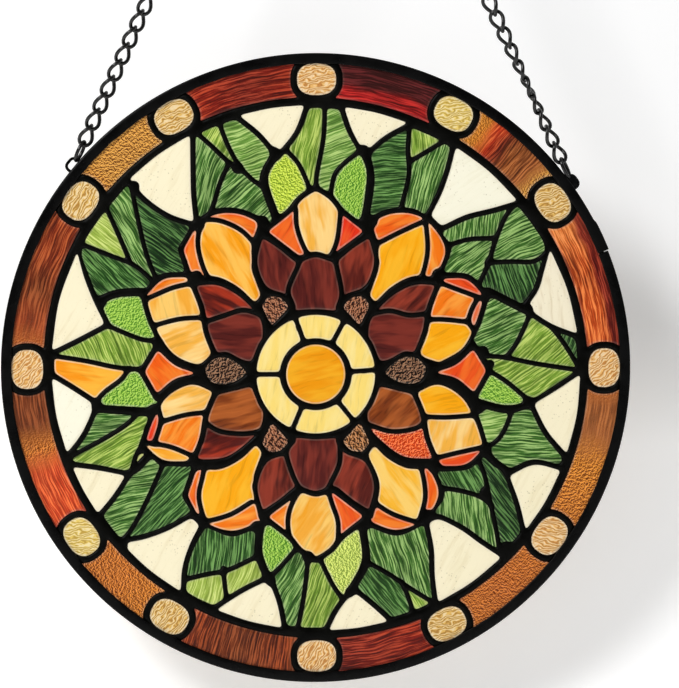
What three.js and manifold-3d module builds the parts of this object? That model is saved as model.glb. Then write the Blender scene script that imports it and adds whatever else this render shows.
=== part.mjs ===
// A round stained glass suncatcher on two chain legs and a hanging ring.
// Millimetres, +Z up, front face towards -Y, origin where the ring hangs on its hook.
import * as THREE from 'three';
import { mergeVertices } from 'three/addons/utils/BufferGeometryUtils.js';
import Module from 'manifold-3d';

const wasm = await Module();
wasm.setup();

// Driving dimensions
const panelRadius = 150;
const rimDepth = 6;
const lipWidth = 5;
const lipThickness = 1;
const webThickness = 1.6;
const glassThickness = 3;
const leadDepth = 4.8;
const leadWidth = 2.6;
const gap = 0.3;
const rimJointAngle = 22;
const rimJointGap = 0.6;

const borderRadius = 129;
const fieldRadius = 125.7;
const fieldOval = 1.1;
const fieldTurn = 145;
const jewelRadius = 137.5;
const jewelWidth = 18.6;
const jewelHeight = 15;
const jewelLead = 3.2;
const jewelAngles = [0, 35, 61.7, 90, 119.5, 144.5, 180, 215.5, 239.3, 270, 297, 324.2];

const flowerX = -0.4;
const flowerZ = -2.7;
const eyeRadius = 14.2;
const ringInner = 17.2;
const ringOuter = 28.3;
const spokeAngles = [4, 62, 110, 180, 247, 309];
const leafHeart = 60;

const panelDrop = 364;
const hangerInner = 8;
const hangerWire = 2;
const hangerSpread = 16;
const linkPitch = 8.5;
const linkWidth = 8.9;
const linkWire = 1.6;
const linkHold = 0.2;
const connectorLength = 11.4;
const connectorWidth = 7.8;
const eyeletWire = 1.2;
const eyeletRise = 3.2;
const eyeletSpan = 6.4;
const eyeletBend = 1.4;

// How finely the curves are stepped; a link's three-sided section spreads a little past its wire
const roundSides = 36;
const ringSides = 24;
const eyeSides = 18;
const jewelSides = 8;
const stepLength = 12;
const fineStep = 6;
const roundedReach = 1.9;
const longestReach = 6.7;
const linkSides = 3;
const linkSteps = 6;
const linkSection = 0.64;

const black = { color: 0x141614, roughness: 0.42, metalness: 0.6 };
const glassOf = (color) => ({ color, roughness: 0.3, metalness: 0 });

const legs = [
  { side: 'left', degrees: 140, roll: 42, turn: 0 },
  { side: 'right', degrees: 36, roll: 45, turn: 90 },
];
const turnedOver = 0.3;

const group = new THREE.Group();
const panel = new THREE.Group();
panel.position.z = -panelDrop;
group.add(panel);

// Solids: a closed geometry becomes a solid for cutting and joining, and comes back as a mesh.
function solidOf(geometry) {
  geometry.deleteAttribute('normal');
  geometry.deleteAttribute('uv');
  const merged = mergeVertices(geometry, 1e-4);
  const vertProperties = new Float32Array(merged.attributes.position.array);
  const triVerts = new Uint32Array(merged.index.array);
  return new wasm.Manifold(new wasm.Mesh({ numProp: 3, vertProperties, triVerts }));
}

function addPart(parent, name, solid, finish) {
  const { vertProperties, triVerts } = solid.getMesh();
  const geometry = new THREE.BufferGeometry();
  geometry.setAttribute('position', new THREE.BufferAttribute(vertProperties, 3));
  geometry.setIndex(new THREE.BufferAttribute(triVerts, 1));
  const mesh = new THREE.Mesh(geometry, new THREE.MeshStandardMaterial(finish));
  mesh.name = name;
  parent.add(mesh);
}

function largestOf(solid) {
  const bodies = solid.decompose();
  return bodies.reduce((best, body) => (body.volume() > best.volume() ? body : best));
}

// Outlines lie in the panel's plane: x to the right, z up.
function corner(x, z) {
  return Object.assign(new THREE.Vector2(x, z), { sharp: true });
}

function bend(x, z) {
  return Object.assign(new THREE.Vector2(x, z), { sharp: false });
}

function polar(radius, degrees) {
  const angle = THREE.MathUtils.degToRad(degrees);
  return corner(radius * Math.cos(angle), radius * Math.sin(angle));
}

function arc(radius, from, to, steps) {
  return Array.from({ length: steps + 1 }, (_, i) => polar(radius, from + ((to - from) * i) / steps));
}

// The field inside the border is a little oval, drawn out towards its turn.
function fieldArc(radius, from, to, steps) {
  const angles = Array.from({ length: steps + 1 }, (_, i) => from + ((to - from) * i) / steps);
  const swell = (degrees) => fieldOval * Math.cos(2 * THREE.MathUtils.degToRad(degrees - fieldTurn));
  return angles.map((degrees) => polar(radius + swell(degrees), degrees));
}

// Smooth curves between the sharp corners of a closed outline, turned anticlockwise.
function traced(outline, step = stepLength) {
  const first = outline.findIndex((point) => point.sharp);
  const points = [...outline.slice(first), ...outline.slice(0, first + 1)];
  const result = [];
  let stretch = [points[0]];
  for (const point of points.slice(1)) {
    stretch.push(point);
    if (point.sharp) {
      const curve = new THREE.SplineCurve(stretch);
      const count = stretch.length === 2 ? 1 : Math.max(2, Math.round(curve.getLength() / step));
      result.push(...curve.getSpacedPoints(count).slice(0, -1));
      stretch = [point];
    }
  }
  return THREE.ShapeUtils.isClockWise(result) ? result.reverse() : result;
}

// Every edge moved out by distance, or in where it is negative, with widened corners rounded.
function offset(points, distance) {
  const count = points.length;
  const normalAfter = points.map((point, i) => {
    const along = points[(i + 1) % count].clone().sub(point).normalize();
    return new THREE.Vector2(along.y, -along.x);
  });
  const moved = [];
  points.forEach((point, i) => {
    const before = normalAfter[(i + count - 1) % count];
    const after = normalAfter[i];
    const middle = before.clone().add(after).normalize();
    const reach = Math.min(1 / middle.dot(after), longestReach);
    const widening = before.cross(after) * distance > 0;
    if (widening && reach > roundedReach) {
      for (const direction of [before, middle, after]) {
        moved.push(point.clone().addScaledVector(direction, distance));
      }
    } else {
      moved.push(point.clone().addScaledVector(middle, distance * reach));
    }
  });
  return moved;
}

function prism(points, depth, front = -depth / 2) {
  const shape = new THREE.Shape(points);
  const geometry = new THREE.ExtrudeGeometry(shape, { depth, bevelEnabled: false });
  geometry.rotateX(Math.PI / 2);
  geometry.translate(0, front + depth, 0);
  return solidOf(geometry);
}

function disc(radius, depth, front) {
  return prism(arc(radius, 0, 360, roundSides).slice(0, -1), depth, front);
}

function fieldDisc(radius, depth) {
  return prism(fieldArc(radius, 0, 360, roundSides).slice(0, -1), depth);
}

function flowerArc(radius, steps) {
  const centre = new THREE.Vector2(flowerX, flowerZ);
  return arc(radius, 0, 360, steps).slice(0, -1).map((point) => point.add(centre));
}

// Places a motif drawn in the flower's upper right quarter: mirrored by signs, stretched a little.
function placed(outline, signX, signZ, stretchX = 1, stretchZ = 1) {
  return outline.map((point) => {
    const make = point.sharp ? corner : bend;
    return make(flowerX + signX * stretchX * point.x, flowerZ + signZ * stretchZ * point.y);
  });
}

function doubled(half) {
  const mirrored = half.slice(0, -1).map(({ x, y, sharp }) => (sharp ? corner(-x, y) : bend(-x, y)));
  return [...half, ...mirrored.reverse()];
}

// Flower motifs, from the flower's centre, x and z towards the upper right
const cornerSeed = [
  corner(12.7, 32), bend(18, 37.2), bend(24, 36.6), corner(25.8, 32.7), corner(21, 23),
];
const sideSeed = [
  corner(32.6, 0.6), bend(38, 5.8), bend(46.5, 8.6), corner(53, 2.7), bend(49, -4.2), bend(40, -4),
];
const darkTrio = doubled([
  bend(0, 31), corner(10, 30.2), corner(13.2, 37.4), bend(23, 41.5), bend(27.8, 52), corner(25.4, 65),
  bend(18.6, 60.6), corner(10, 53.8), corner(6.6, 53.8), bend(0, 55.8),
]).slice(0, -1);
const verticalPetal = doubled([
  bend(0, 57.6), corner(7.2, 56), corner(22.8, 68), corner(11.6, 77), bend(8.4, 81.6), corner(0, 87.4),
]);
const darkPair = [
  corner(25, 18), corner(30.8, 6), corner(46.8, 10), bend(50.4, 18), bend(52.4, 30), corner(57, 42.4),
  bend(49, 43), bend(39, 39), corner(30.4, 31.6), corner(26, 25.4),
];
const diagonalPetal = [
  corner(28.3, 34.2), bend(38.3, 43.2), bend(49, 47.2), corner(57.3, 46.2), bend(61.8, 55),
  bend(60.4, 64), corner(54.4, 71.6), bend(47, 76), bend(37, 76.6), corner(26.4, 72.4),
  corner(29.8, 62), bend(30.2, 51), corner(25.6, 37.6),
];
const lateralPetal = [
  corner(47.8, 9.6), bend(54.6, 5), bend(62.5, 6.4), bend(71, 12), bend(75.4, 19.8), bend(79.6, 29.4),
  corner(81.6, 37.2), bend(73.4, 44.8), corner(61.6, 46), corner(57.8, 41), bend(54.2, 31),
  corner(51.2, 23.6),
];
const sideFlame = [
  corner(57, 0.6), bend(67.5, 4.7), corner(75.2, 11.8), bend(80.6, 5), bend(81, -1.5), corner(75.6, -9),
  bend(67.5, -2.3),
];

const families = [
  { name: 'seed', colour: 0x78481f, outline: cornerSeed, step: fineStep,
    copies: [[1, 1], [-1, 1], [-1, -1], [1, -1]] },
  { name: 'side_seed', colour: 0x5a3418, outline: sideSeed, step: fineStep, copies: [[1, 1], [-1, 1]] },
  { name: 'dark_trio', colour: 0x5a1914, outline: darkTrio, copies: [[1, 1], [1, -1]] },
  { name: 'dark_pair', colour: 0x5f2016, outline: darkPair,
    copies: [[1, 1], [-1, 1], [-1, -1, 1, 0.96], [1, -1, 0.98, 0.96]] },
  { name: 'flame_petal', colour: 0xfac478, outline: verticalPetal, copies: [[1, 1], [1, -1]] },
  { name: 'gold_petal', colour: 0xfaaf28, outline: diagonalPetal,
    copies: [[1, 1], [-1, 1, 1.02, 1], [-1, -1, 0.99, 0.97], [1, -1, 0.95, 0.97]] },
  { name: 'side_flame', colour: 0xf07828, outline: sideFlame, copies: [[1, 1], [-1, 1]] },
  { name: 'side_petal', colour: 0xf58a32, outline: lateralPetal,
    copies: [[1, 1, 0.985, 1], [-1, 1, 0.99, 1.01], [-1, -1, 1, 0.9], [1, -1, 0.985, 0.96]] },
];

// Pale corners of the background: the stretch of the field's edge and the points towards the flower
const wedges = [
  { rim: [27, 7.4],
    inner: [bend(118, 17.6), bend(110, 22.6), corner(100.3, 28.9), bend(104.4, 34.6), bend(108, 42),
      bend(109.4, 51)] },
  { rim: [57.8, 39.8],
    inner: [bend(88, 76.6), bend(76.3, 75.8), bend(68, 71.2), corner(59.6, 67.8), corner(54.4, 72.8),
      bend(59.8, 83.5), bend(63.2, 93)] },
  { rim: [84, 69.6],
    inner: [bend(36.2, 112.6), bend(28.2, 108.5), corner(22.7, 102.6), bend(17.2, 112.8)] },
  { rim: [107, 92.6],
    inner: [bend(-9.2, 116.5), bend(-12.8, 107.6), corner(-18.4, 102.7), bend(-23.8, 109.6),
      bend(-30.8, 115.6)] },
  { rim: [134.6, 118.4],
    inner: [bend(-59, 104), bend(-60.3, 94.5), bend(-59.8, 85), corner(-58.4, 69.8), bend(-69.8, 73.8),
      bend(-79, 79.8)] },
  { rim: [176, 153.8],
    inner: [bend(-109.8, 41.6), bend(-104.8, 29.6), corner(-100.8, 21.6), bend(-111.8, 15.8)] },
  { rim: [198.6, 181.8],
    inner: [bend(-118, -8.8), corner(-107, -16), corner(-106.8, -19.6), bend(-109.8, -26.8),
      bend(-113.6, -33.4)] },
  { rim: [213.4, 201.8],
    inner: [bend(-110, -47.6), bend(-99.8, -48.8), corner(-91, -50.8), bend(-96, -58.6)] },
  { rim: [238.6, 221.8],
    inner: [bend(-80, -80.6), bend(-69.8, -76.6), corner(-60, -71.2), corner(-55.2, -74.2), bend(-60.2, -83),
      bend(-63.8, -93)] },
  { rim: [262.4, 247.4],
    inner: [bend(-39.8, -109), bend(-29.8, -105.4), corner(-23, -101), bend(-19.8, -108.6)] },
  { rim: [285.8, 272.6],
    inner: [bend(12, -113.4), corner(17.6, -106.8), bend(25, -112.8)] },
  { rim: [314.2, 297.4],
    inner: [bend(56.6, -100), bend(56, -85.6), corner(53.7, -74), corner(58.6, -72.4), bend(66.4, -75.8),
      bend(76.2, -82.8)] },
  { rim: [337.2, 322.2],
    inner: [bend(97.4, -68), bend(96.2, -60.4), corner(92.2, -51.6), bend(97.4, -48.8), bend(105, -46.4)] },
  { rim: [358.6, 341],
    inner: [bend(114, -35.6), bend(109, -27.6), corner(103.8, -17.2), bend(115.2, -10.4)] },
];

// Lead lines between neighbouring leaves, from the wedge above inwards to the flower
const leafSeams = [
  [corner(99.5, 28.4), corner(82, 37.4)],
  [corner(57, 70.5), corner(54, 66)],
  [corner(24.6, 101), corner(26.4, 90), corner(24.2, 74)],
  [corner(-19.4, 101.6), corner(-24.4, 90), corner(-19.4, 74)],
  [corner(-58.4, 69), corner(-56, 65)],
  [corner(-104.4, 33), corner(-95, 36.6), corner(-83.4, 37.4)],
  [corner(-106, -18), corner(-79.4, -19.6)],
  [corner(-91, -50), corner(-86.4, -47), corner(-80.4, -40.6)],
  [corner(-57.4, -72), corner(-54, -67)],
  [corner(-24.4, -99.6), corner(-28.4, -88), corner(-27.6, -75.6)],
  [corner(16.6, -104.6), corner(22.8, -92), corner(21.4, -76.6)],
  [corner(56, -72.6), corner(52, -67)],
  [corner(91, -50), corner(86, -46.6), corner(80.4, -41)],
  [corner(102, -18), corner(90.6, -20.4), corner(78, -17.4)],
];

function petalPlates() {
  return families.flatMap((family) =>
    family.copies.map((copy, i) => ({
      name: `${family.name}_${i + 1}`,
      colour: family.colour,
      outline: traced(placed(family.outline, ...copy), family.step),
    })));
}

function wedgePlates() {
  return wedges.map(({ rim, inner }, i) => {
    const edge = fieldArc(fieldRadius, rim[1], rim[0], 2);
    return {
      name: `background_${i + 1}`,
      colour: 0xeee4c8,
      outline: traced([...edge, ...[...inner].reverse()]),
    };
  });
}

// A leaf lies between two seams, under the wedges at its tip and the petals at its foot.
function leafPlates() {
  return leafSeams.map((seam, i) => {
    const next = leafSeams[(i + 1) % leafSeams.length];
    const middle = ({ rim }) => (rim[0] + rim[1]) / 2;
    const from = middle(wedges[i]);
    const to = middle(wedges[(i + 1) % wedges.length]) + (i + 1 === wedges.length ? 360 : 0);
    const heart = (points) => points.at(-1).clone().setLength(leafHeart);
    const edge = fieldArc(fieldRadius, from, to, 4);
    return {
      name: `leaf_${i + 1}`,
      colour: i % 2 ? 0x3f7a3c : 0x6a9a45,
      outline: [...edge, ...next, heart(next), heart(seam), ...[...seam].reverse()],
      seamed: true,
    };
  });
}

// Each plate is cut by every plate drawn before it, with the width of a lead between.
const plates = [
  { name: 'eye', colour: 0xf0a010, outline: flowerArc(eyeRadius, eyeSides) },
  { name: 'eye_ring', colour: 0xfcdc82, outline: flowerArc(ringOuter, ringSides),
    hole: flowerArc(ringInner, eyeSides) },
  ...petalPlates(),
  ...wedgePlates(),
  ...leafPlates(),
];

function regionOf(plate, before, inset, depth) {
  const shrink = inset + (plate.seamed ? leadWidth / 2 : 0);
  let region = prism(offset(plate.outline, -shrink), depth);
  if (plate.seamed) {
    region = region.intersect(fieldDisc(fieldRadius - inset, depth));
  }
  if (plate.hole) {
    return region.subtract(prism(offset(plate.hole, inset), depth * 2));
  }
  for (const other of before) {
    region = region.subtract(prism(offset(other.outline, leadWidth + inset), depth * 2));
  }
  return largestOf(region);
}

// Jewels sit on the border ring; their lead collars stand on the border glass.
function jewelAt(degrees, grow) {
  const centre = polar(jewelRadius, degrees);
  const ellipse = new THREE.EllipseCurve(
    centre.x, centre.y, jewelHeight / 2 + grow, jewelWidth / 2 + grow,
    0, 2 * Math.PI, false, THREE.MathUtils.degToRad(degrees));
  return ellipse.getPoints(jewelSides).slice(0, -1);
}

// Lead lines that part the ring round the eye lie on its front and carry the eye's collar.
function spokeAt(degrees, depth, front) {
  const spoke = new THREE.BoxGeometry(ringOuter - ringInner + leadWidth, depth, leadWidth);
  spoke.translate((ringOuter + ringInner) / 2, 0, 0);
  spoke.rotateY(THREE.MathUtils.degToRad(-degrees));
  spoke.translate(flowerX, front + depth / 2, flowerZ);
  return solidOf(spoke);
}

function leadNet() {
  let net = fieldDisc(borderRadius, leadDepth);
  plates.forEach((plate, i) => {
    net = net.subtract(regionOf(plate, plates.slice(0, i), 0, leadDepth * 2));
  });
  const front = -leadDepth / 2;
  const collarDepth = (leadDepth - glassThickness) / 2 - gap;
  for (const degrees of spokeAngles) {
    net = net.add(spokeAt(degrees, collarDepth, front));
  }
  for (const degrees of jewelAngles) {
    const collar = prism(jewelAt(degrees, jewelLead), collarDepth, front);
    const opening = prism(jewelAt(degrees, 0), collarDepth * 4, front - collarDepth);
    net = net.add(collar.subtract(opening).intersect(disc(panelRadius - lipWidth - gap, leadDepth)));
  }
  return largestOf(net);
}

function rimSolid() {
  const half = rimDepth / 2;
  const lip = half - lipThickness;
  const web = panelRadius - webThickness;
  const inner = panelRadius - lipWidth;
  const profile = [
    [inner, -half], [panelRadius, -half], [panelRadius, half], [inner, half],
    [inner, lip], [web, lip], [web, -lip], [inner, -lip], [inner, -half],
  ];
  const ring = new THREE.LatheGeometry(profile.map(([x, y]) => new THREE.Vector2(x, y)), roundSides);
  const jointGap = new THREE.BoxGeometry(3 * lipWidth, rimDepth * 2, rimJointGap);
  jointGap.translate(panelRadius, 0, 0);
  jointGap.rotateY(THREE.MathUtils.degToRad(-rimJointAngle));
  const eyelets = legs.map(({ degrees }) => eyeletSolid(degrees));
  return eyelets.reduce((sum, eyelet) => sum.add(eyelet), solidOf(ring).subtract(solidOf(jointGap)));
}

function borderGlass() {
  const outer = disc(panelRadius - webThickness - gap, glassThickness);
  return outer.subtract(fieldDisc(borderRadius + gap, glassThickness * 2));
}

// A closed link of wire: path(t) is its centre line and outward(t) points away from its middle.
function closedWire(path, outward) {
  const radius = linkWire * linkSection;
  const nearby = 0.001;
  const geometry = new THREE.TorusGeometry(1, 0.5, linkSides, linkSteps);
  const { position, uv } = geometry.attributes;
  for (let i = 0; i < position.count; i += 1) {
    const t = uv.getX(i) % 1;
    const around = 2 * Math.PI * uv.getY(i);
    const out = outward(t);
    const along = path(t + nearby).sub(path(t - nearby)).normalize();
    const across = out.clone().cross(along);
    const point = path(t)
      .addScaledVector(out, radius * Math.cos(around))
      .addScaledVector(across, radius * Math.sin(around));
    position.setXYZ(i, point.x, point.y, point.z);
  }
  return solidOf(geometry);
}

// A link's six corners lie at its flat ends and its wide middle; turn(u) rolls it about the leg.
function linkSolid(frame, centre, length, width, turn) {
  const halfLength = length / 2;
  const halfWidth = (width - linkWire) / 2;
  const at = (t) => {
    const angle = 2 * Math.PI * t + Math.PI / linkSteps;
    const u = Math.cos(angle) / Math.cos(Math.PI / linkSteps);
    const roll = turn(THREE.MathUtils.clamp(u, -1, 1));
    const across = frame.side.clone().multiplyScalar(Math.cos(roll));
    across.addScaledVector(frame.normal, Math.sin(roll));
    return { u, v: Math.sin(angle), across };
  };
  const path = (t) => {
    const { u, v, across } = at(t);
    const point = centre.clone().addScaledVector(frame.along, u * halfLength);
    return point.addScaledVector(across, v * halfWidth);
  };
  const outward = (t) => {
    const { u, v, across } = at(t);
    return frame.along.clone().multiplyScalar(u).addScaledVector(across, v).normalize();
  };
  return closedWire(path, outward);
}

// Plain curb chain from an eyelet up to the hanging ring: every link is twisted a quarter turn.
function chainLeg(from, to, { roll, turn }) {
  const along = to.clone().sub(from).normalize();
  const normal = new THREE.Vector3(0, 1, 0);
  const frame = { along, normal, side: normal.clone().cross(along) };
  const place = (s) => from.clone().addScaledVector(along, s);
  const face = (linkWire * linkSection) / 2;
  const hold = 2 * face - linkHold;
  const start = -(face + gap + eyeletWire / 2);
  const finish = from.distanceTo(to) + face + gap + hangerWire / 2;
  const chained = finish - start - 2 * connectorLength + hold;
  const count = Math.round(chained / linkPitch);
  const pitch = chained / count;
  const quarter = Math.PI / 4;
  const connector = (s) => linkSolid(frame, place(s), connectorLength, connectorWidth, () => 2 * quarter);
  let leg = connector(start + connectorLength / 2);
  for (let i = 0; i < count; i += 1) {
    const s = start + connectorLength - hold + i * pitch;
    const share = THREE.MathUtils.smoothstep((i + 0.5) / count, 0, turnedOver);
    const middle = THREE.MathUtils.degToRad(roll + turn * share);
    const twist = (u) => middle + u * quarter;
    leg = leg.add(linkSolid(frame, place(s + (pitch + hold) / 2), pitch + hold, linkWidth, twist));
  }
  return leg.add(connector(finish - connectorLength / 2));
}

// A small wire staple on the rim's outer edge; the chain's last link passes under it.
function eyeletSolid(degrees) {
  const half = eyeletSpan / 2;
  const straight = half - eyeletBend;
  const foot = panelRadius - webThickness / 2;
  const top = panelRadius + eyeletRise;
  const shoulder = top - eyeletBend;
  const path = new THREE.CurvePath();
  const at = (radius, shift) => new THREE.Vector3(radius, 0, shift);
  path.add(new THREE.LineCurve3(at(foot, -half), at(shoulder, -half)));
  path.add(new THREE.QuadraticBezierCurve3(at(shoulder, -half), at(top, -half), at(top, -straight)));
  path.add(new THREE.LineCurve3(at(top, -straight), at(top, straight)));
  path.add(new THREE.QuadraticBezierCurve3(at(top, straight), at(top, half), at(shoulder, half)));
  path.add(new THREE.LineCurve3(at(shoulder, half), at(foot, half)));
  const section = new THREE.Shape().absarc(0, 0, eyeletWire / 2, 0, 2 * Math.PI);
  const geometry = new THREE.ExtrudeGeometry(section, { steps: 7, extrudePath: path, curveSegments: 3 });
  geometry.rotateY(THREE.MathUtils.degToRad(-degrees));
  return solidOf(geometry);
}

// Where the last link pulls: on the upper leg of the staple, half way up its opening.
function eyeletHold(degrees) {
  const uphill = polar(eyeletSpan / 2, degrees + (degrees < 90 ? 90 : -90));
  return polar(panelRadius + (eyeletRise - eyeletWire / 2) / 2, degrees).add(uphill);
}

addPart(panel, 'rim', rimSolid(), black);
addPart(panel, 'lead_net', leadNet(), black);
addPart(panel, 'border_glass', borderGlass(), glassOf(0x96482a));
plates.forEach((plate, i) => {
  const region = regionOf(plate, plates.slice(0, i), gap, glassThickness);
  addPart(panel, plate.name, region, glassOf(plate.colour));
});

const hangerRadius = hangerInner + hangerWire / 2;
const hanger = new THREE.TorusGeometry(hangerRadius, hangerWire / 2, 6, 16);
hanger.rotateX(Math.PI / 2);
hanger.translate(0, 0, -hangerInner);
addPart(group, 'hanging_ring', solidOf(hanger), black);

for (const leg of legs) {
  const hold = eyeletHold(leg.degrees);
  const from = new THREE.Vector3(hold.x, 0, hold.y - panelDrop);
  const slot = polar(hangerRadius, -90 + Math.sign(hold.x) * hangerSpread);
  const to = new THREE.Vector3(slot.x, 0, slot.y - hangerInner);
  addPart(group, `chain_${leg.side}`, chainLeg(from, to, leg), black);
}

export default group;
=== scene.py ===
import math
import random

import bpy
import bmesh
import numpy as np
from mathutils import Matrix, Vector, kdtree, noise
from mathutils.geometry import delaunay_2d_cdt


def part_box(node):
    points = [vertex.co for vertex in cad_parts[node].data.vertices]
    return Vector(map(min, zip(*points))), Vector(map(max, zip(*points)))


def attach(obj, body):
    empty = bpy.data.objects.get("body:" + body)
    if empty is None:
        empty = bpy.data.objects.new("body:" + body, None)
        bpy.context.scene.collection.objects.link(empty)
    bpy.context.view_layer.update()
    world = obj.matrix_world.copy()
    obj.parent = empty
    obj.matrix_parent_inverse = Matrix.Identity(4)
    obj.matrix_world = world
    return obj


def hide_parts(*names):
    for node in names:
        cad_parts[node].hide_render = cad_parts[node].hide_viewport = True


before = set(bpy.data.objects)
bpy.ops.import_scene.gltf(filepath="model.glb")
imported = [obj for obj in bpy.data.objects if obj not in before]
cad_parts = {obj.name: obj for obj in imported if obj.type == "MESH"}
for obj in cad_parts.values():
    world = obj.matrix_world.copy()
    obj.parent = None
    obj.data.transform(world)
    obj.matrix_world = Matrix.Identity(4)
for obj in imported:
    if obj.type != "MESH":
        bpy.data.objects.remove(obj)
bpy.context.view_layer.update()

mm = 0.001
netLow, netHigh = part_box("lead_net")
rimLow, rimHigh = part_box("rim")
centreZ = (netLow[2] + netHigh[2]) / 2
panelRadius = (rimHigh[0] - rimLow[0]) / 2 / mm
glassHalf = -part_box("eye")[0][1] / mm
rimHalf = -rimLow[1] / mm
print("frame loaded, panel radius", round(panelRadius, 1), "mm")

# Outlines. The pattern is worked in millimetres, x and z from the panel's middle.

outlinePlan = dict(
    step=1.0,            # spacing of points along an outline
    gap=0.3,             # between a plate and its opening in the net
    cut=2.3,             # lead between two panes of one plate
    corner=50,           # a turn sharper than this, in degrees, stays a corner
    smallest=3.0,        # a sliver under this area, in square millimetres, is all lead
    rounding=4,          # passes that soften a pane's corners
)


def signedArea(points):
    x, z = points[:, 0], points[:, 1]
    return 0.5 * float(np.sum(x * np.roll(z, -1) - z * np.roll(x, -1)))


def counterClockwise(points):
    return points if signedArea(points) > 0 else points[::-1]


def chainEdges(edges):
    following = {}
    for a, b in edges:
        following.setdefault(a, []).append(b)
    loops = []
    while following:
        start = next(iter(following))
        loop, vert = [start], following[start].pop()
        while vert != start and following.get(vert):
            loop.append(vert)
            vert = following[vert].pop()
        following = {key: ends for key, ends in following.items() if ends}
        loops.append(loop)
    return loops


def frontLoops(nodeName):
    mesh = bmesh.new()
    mesh.from_mesh(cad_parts[nodeName].data)
    bmesh.ops.remove_doubles(mesh, verts=mesh.verts, dist=1e-6)
    mesh.verts.index_update()
    front = min(vert.co.y for vert in mesh.verts)
    faces = {face for face in mesh.faces if all(vert.co.y < front + 1e-5 for vert in face.verts)}
    # sorted, because the order of a set of faces changes from run to run
    edges = sorted((corner.vert.index, corner.link_loop_next.vert.index)
                   for face in faces for corner in face.loops
                   if sum(other in faces for other in corner.edge.link_faces) == 1)
    mesh.verts.ensure_lookup_table()
    places = [(vert.co.x / mm, (vert.co.z - centreZ) / mm) for vert in mesh.verts]
    loops = [np.array([places[i] for i in loop]) for loop in chainEdges(edges)]
    mesh.free()
    return sorted(loops, key=lambda points: -abs(signedArea(points)))


def withoutShortEdges(points, shortest):
    kept = [points[0]]
    for point in points[1:]:
        if np.hypot(*(point - kept[-1])) >= shortest:
            kept.append(point)
    if len(kept) > 3 and np.hypot(*(kept[0] - kept[-1])) < shortest:
        kept.pop()
    return np.array(kept)


def turns(points):
    before = points - np.roll(points, 1, axis=0)
    after = np.roll(points, -1, axis=0) - points
    cross = before[:, 0] * after[:, 1] - before[:, 1] * after[:, 0]
    return np.degrees(np.arctan2(cross, (before * after).sum(axis=1)))


def curveThrough(points, step):
    points = np.array(points, float)
    padded = np.vstack([2 * points[0] - points[1], points, 2 * points[-1] - points[-2]])
    curve = []
    for a, b, c, d in zip(padded, padded[1:], padded[2:], padded[3:]):
        count = max(1, round(np.hypot(*(c - b)) / step))
        for i in range(count):
            t = i / count
            curve.append(0.5 * (2 * b + (c - a) * t + (2 * a - 5 * b + 4 * c - d) * t * t
                                + (3 * b - a - 3 * c + d) * t ** 3))
    return np.array(curve + [points[-1]])


def smoothLoop(points):
    points = withoutShortEdges(counterClockwise(points), 0.7)
    corners = np.flatnonzero(np.abs(turns(points)) > outlinePlan["corner"])
    if len(corners) == 0:
        corners = np.array([0])
    count = len(points)
    smooth = []
    for first, last in zip(corners, np.append(corners[1:], corners[0] + count)):
        stretch = points[np.arange(first, last + 1) % count]
        smooth.extend(curveThrough(stretch, outlinePlan["step"])[:-1])
    return np.array(smooth)


def grown(points, distance):
    before = points - np.roll(points, 1, axis=0)
    after = np.roll(points, -1, axis=0) - points
    before /= np.maximum(np.hypot(*before.T), 1e-9)[:, None]
    after /= np.maximum(np.hypot(*after.T), 1e-9)[:, None]
    along = before + after
    along /= np.maximum(np.hypot(*along.T), 1e-3)[:, None]
    return points + distance * np.column_stack([along[:, 1], -along[:, 0]])


def inside(points, loop):
    points = np.atleast_2d(points)
    crossings = np.zeros(len(points), int)
    for (ax, az), (bx, bz) in zip(loop, np.roll(loop, -1, axis=0)):
        if az == bz:
            continue
        spans = (points[:, 1] >= min(az, bz)) & (points[:, 1] < max(az, bz))
        reach = ax + (points[:, 1] - az) * (bx - ax) / (bz - az)
        crossings += spans & (points[:, 0] < reach)
    return crossings % 2 == 1


def strip(line, width):
    line = curveThrough(line, 2.0)
    along = np.gradient(line, axis=0)
    along /= np.hypot(*along.T)[:, None]
    across = np.column_stack([-along[:, 1], along[:, 0]]) * width / 2
    ends = along[[0, -1]] * 1.1
    line[0] -= ends[0]
    line[-1] += ends[1]
    return np.vstack([line + across, (line - across)[::-1]])


def triangulate(loops, extra=()):
    points, edges = [], []
    for loop in loops:
        first = len(points)
        points.extend(Vector(point) for point in loop)
        edges.extend((first + i, first + (i + 1) % len(loop)) for i in range(len(loop)))
    points.extend(Vector(point) for point in extra)
    verts, _, faces, *_ = delaunay_2d_cdt(points, edges, [], 0, 1e-5)
    return np.array(verts), np.array([face for face in faces if len(face) == 3], int)


def splitPlate(outer, holes, strips):
    verts, faces = triangulate([outer, *holes, *strips])
    middles = verts[faces].mean(axis=1)
    kept = inside(middles, outer)
    for hole in [*holes, *strips]:
        kept &= ~inside(middles, hole)
    faces = faces[kept]
    owner = {}
    for index, face in enumerate(faces):
        for a, b in ((0, 1), (1, 2), (2, 0)):
            owner[(face[a], face[b])] = index
    label = -np.ones(len(faces), int)
    groups = 0
    for seed in range(len(faces)):
        if label[seed] >= 0:
            continue
        waiting = [seed]
        label[seed] = groups
        while waiting:
            face = faces[waiting.pop()]
            for a, b in ((0, 1), (1, 2), (2, 0)):
                other = owner.get((face[b], face[a]), -1)
                if other >= 0 and label[other] < 0:
                    label[other] = groups
                    waiting.append(other)
        groups += 1
    panes = []
    for group in range(groups):
        mine = {(face[a], face[b]) for face in faces[label == group] for a, b in ((0, 1), (1, 2), (2, 0))}
        border = sorted((a, b) for a, b in mine if (b, a) not in mine)
        loops = [softened(verts[loop]) for loop in chainEdges(border) if len(loop) > 2]
        loop = max(loops, key=lambda points: abs(signedArea(points)))
        if signedArea(loop) > outlinePlan["smallest"]:
            panes.append(loop)
    return panes


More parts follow.
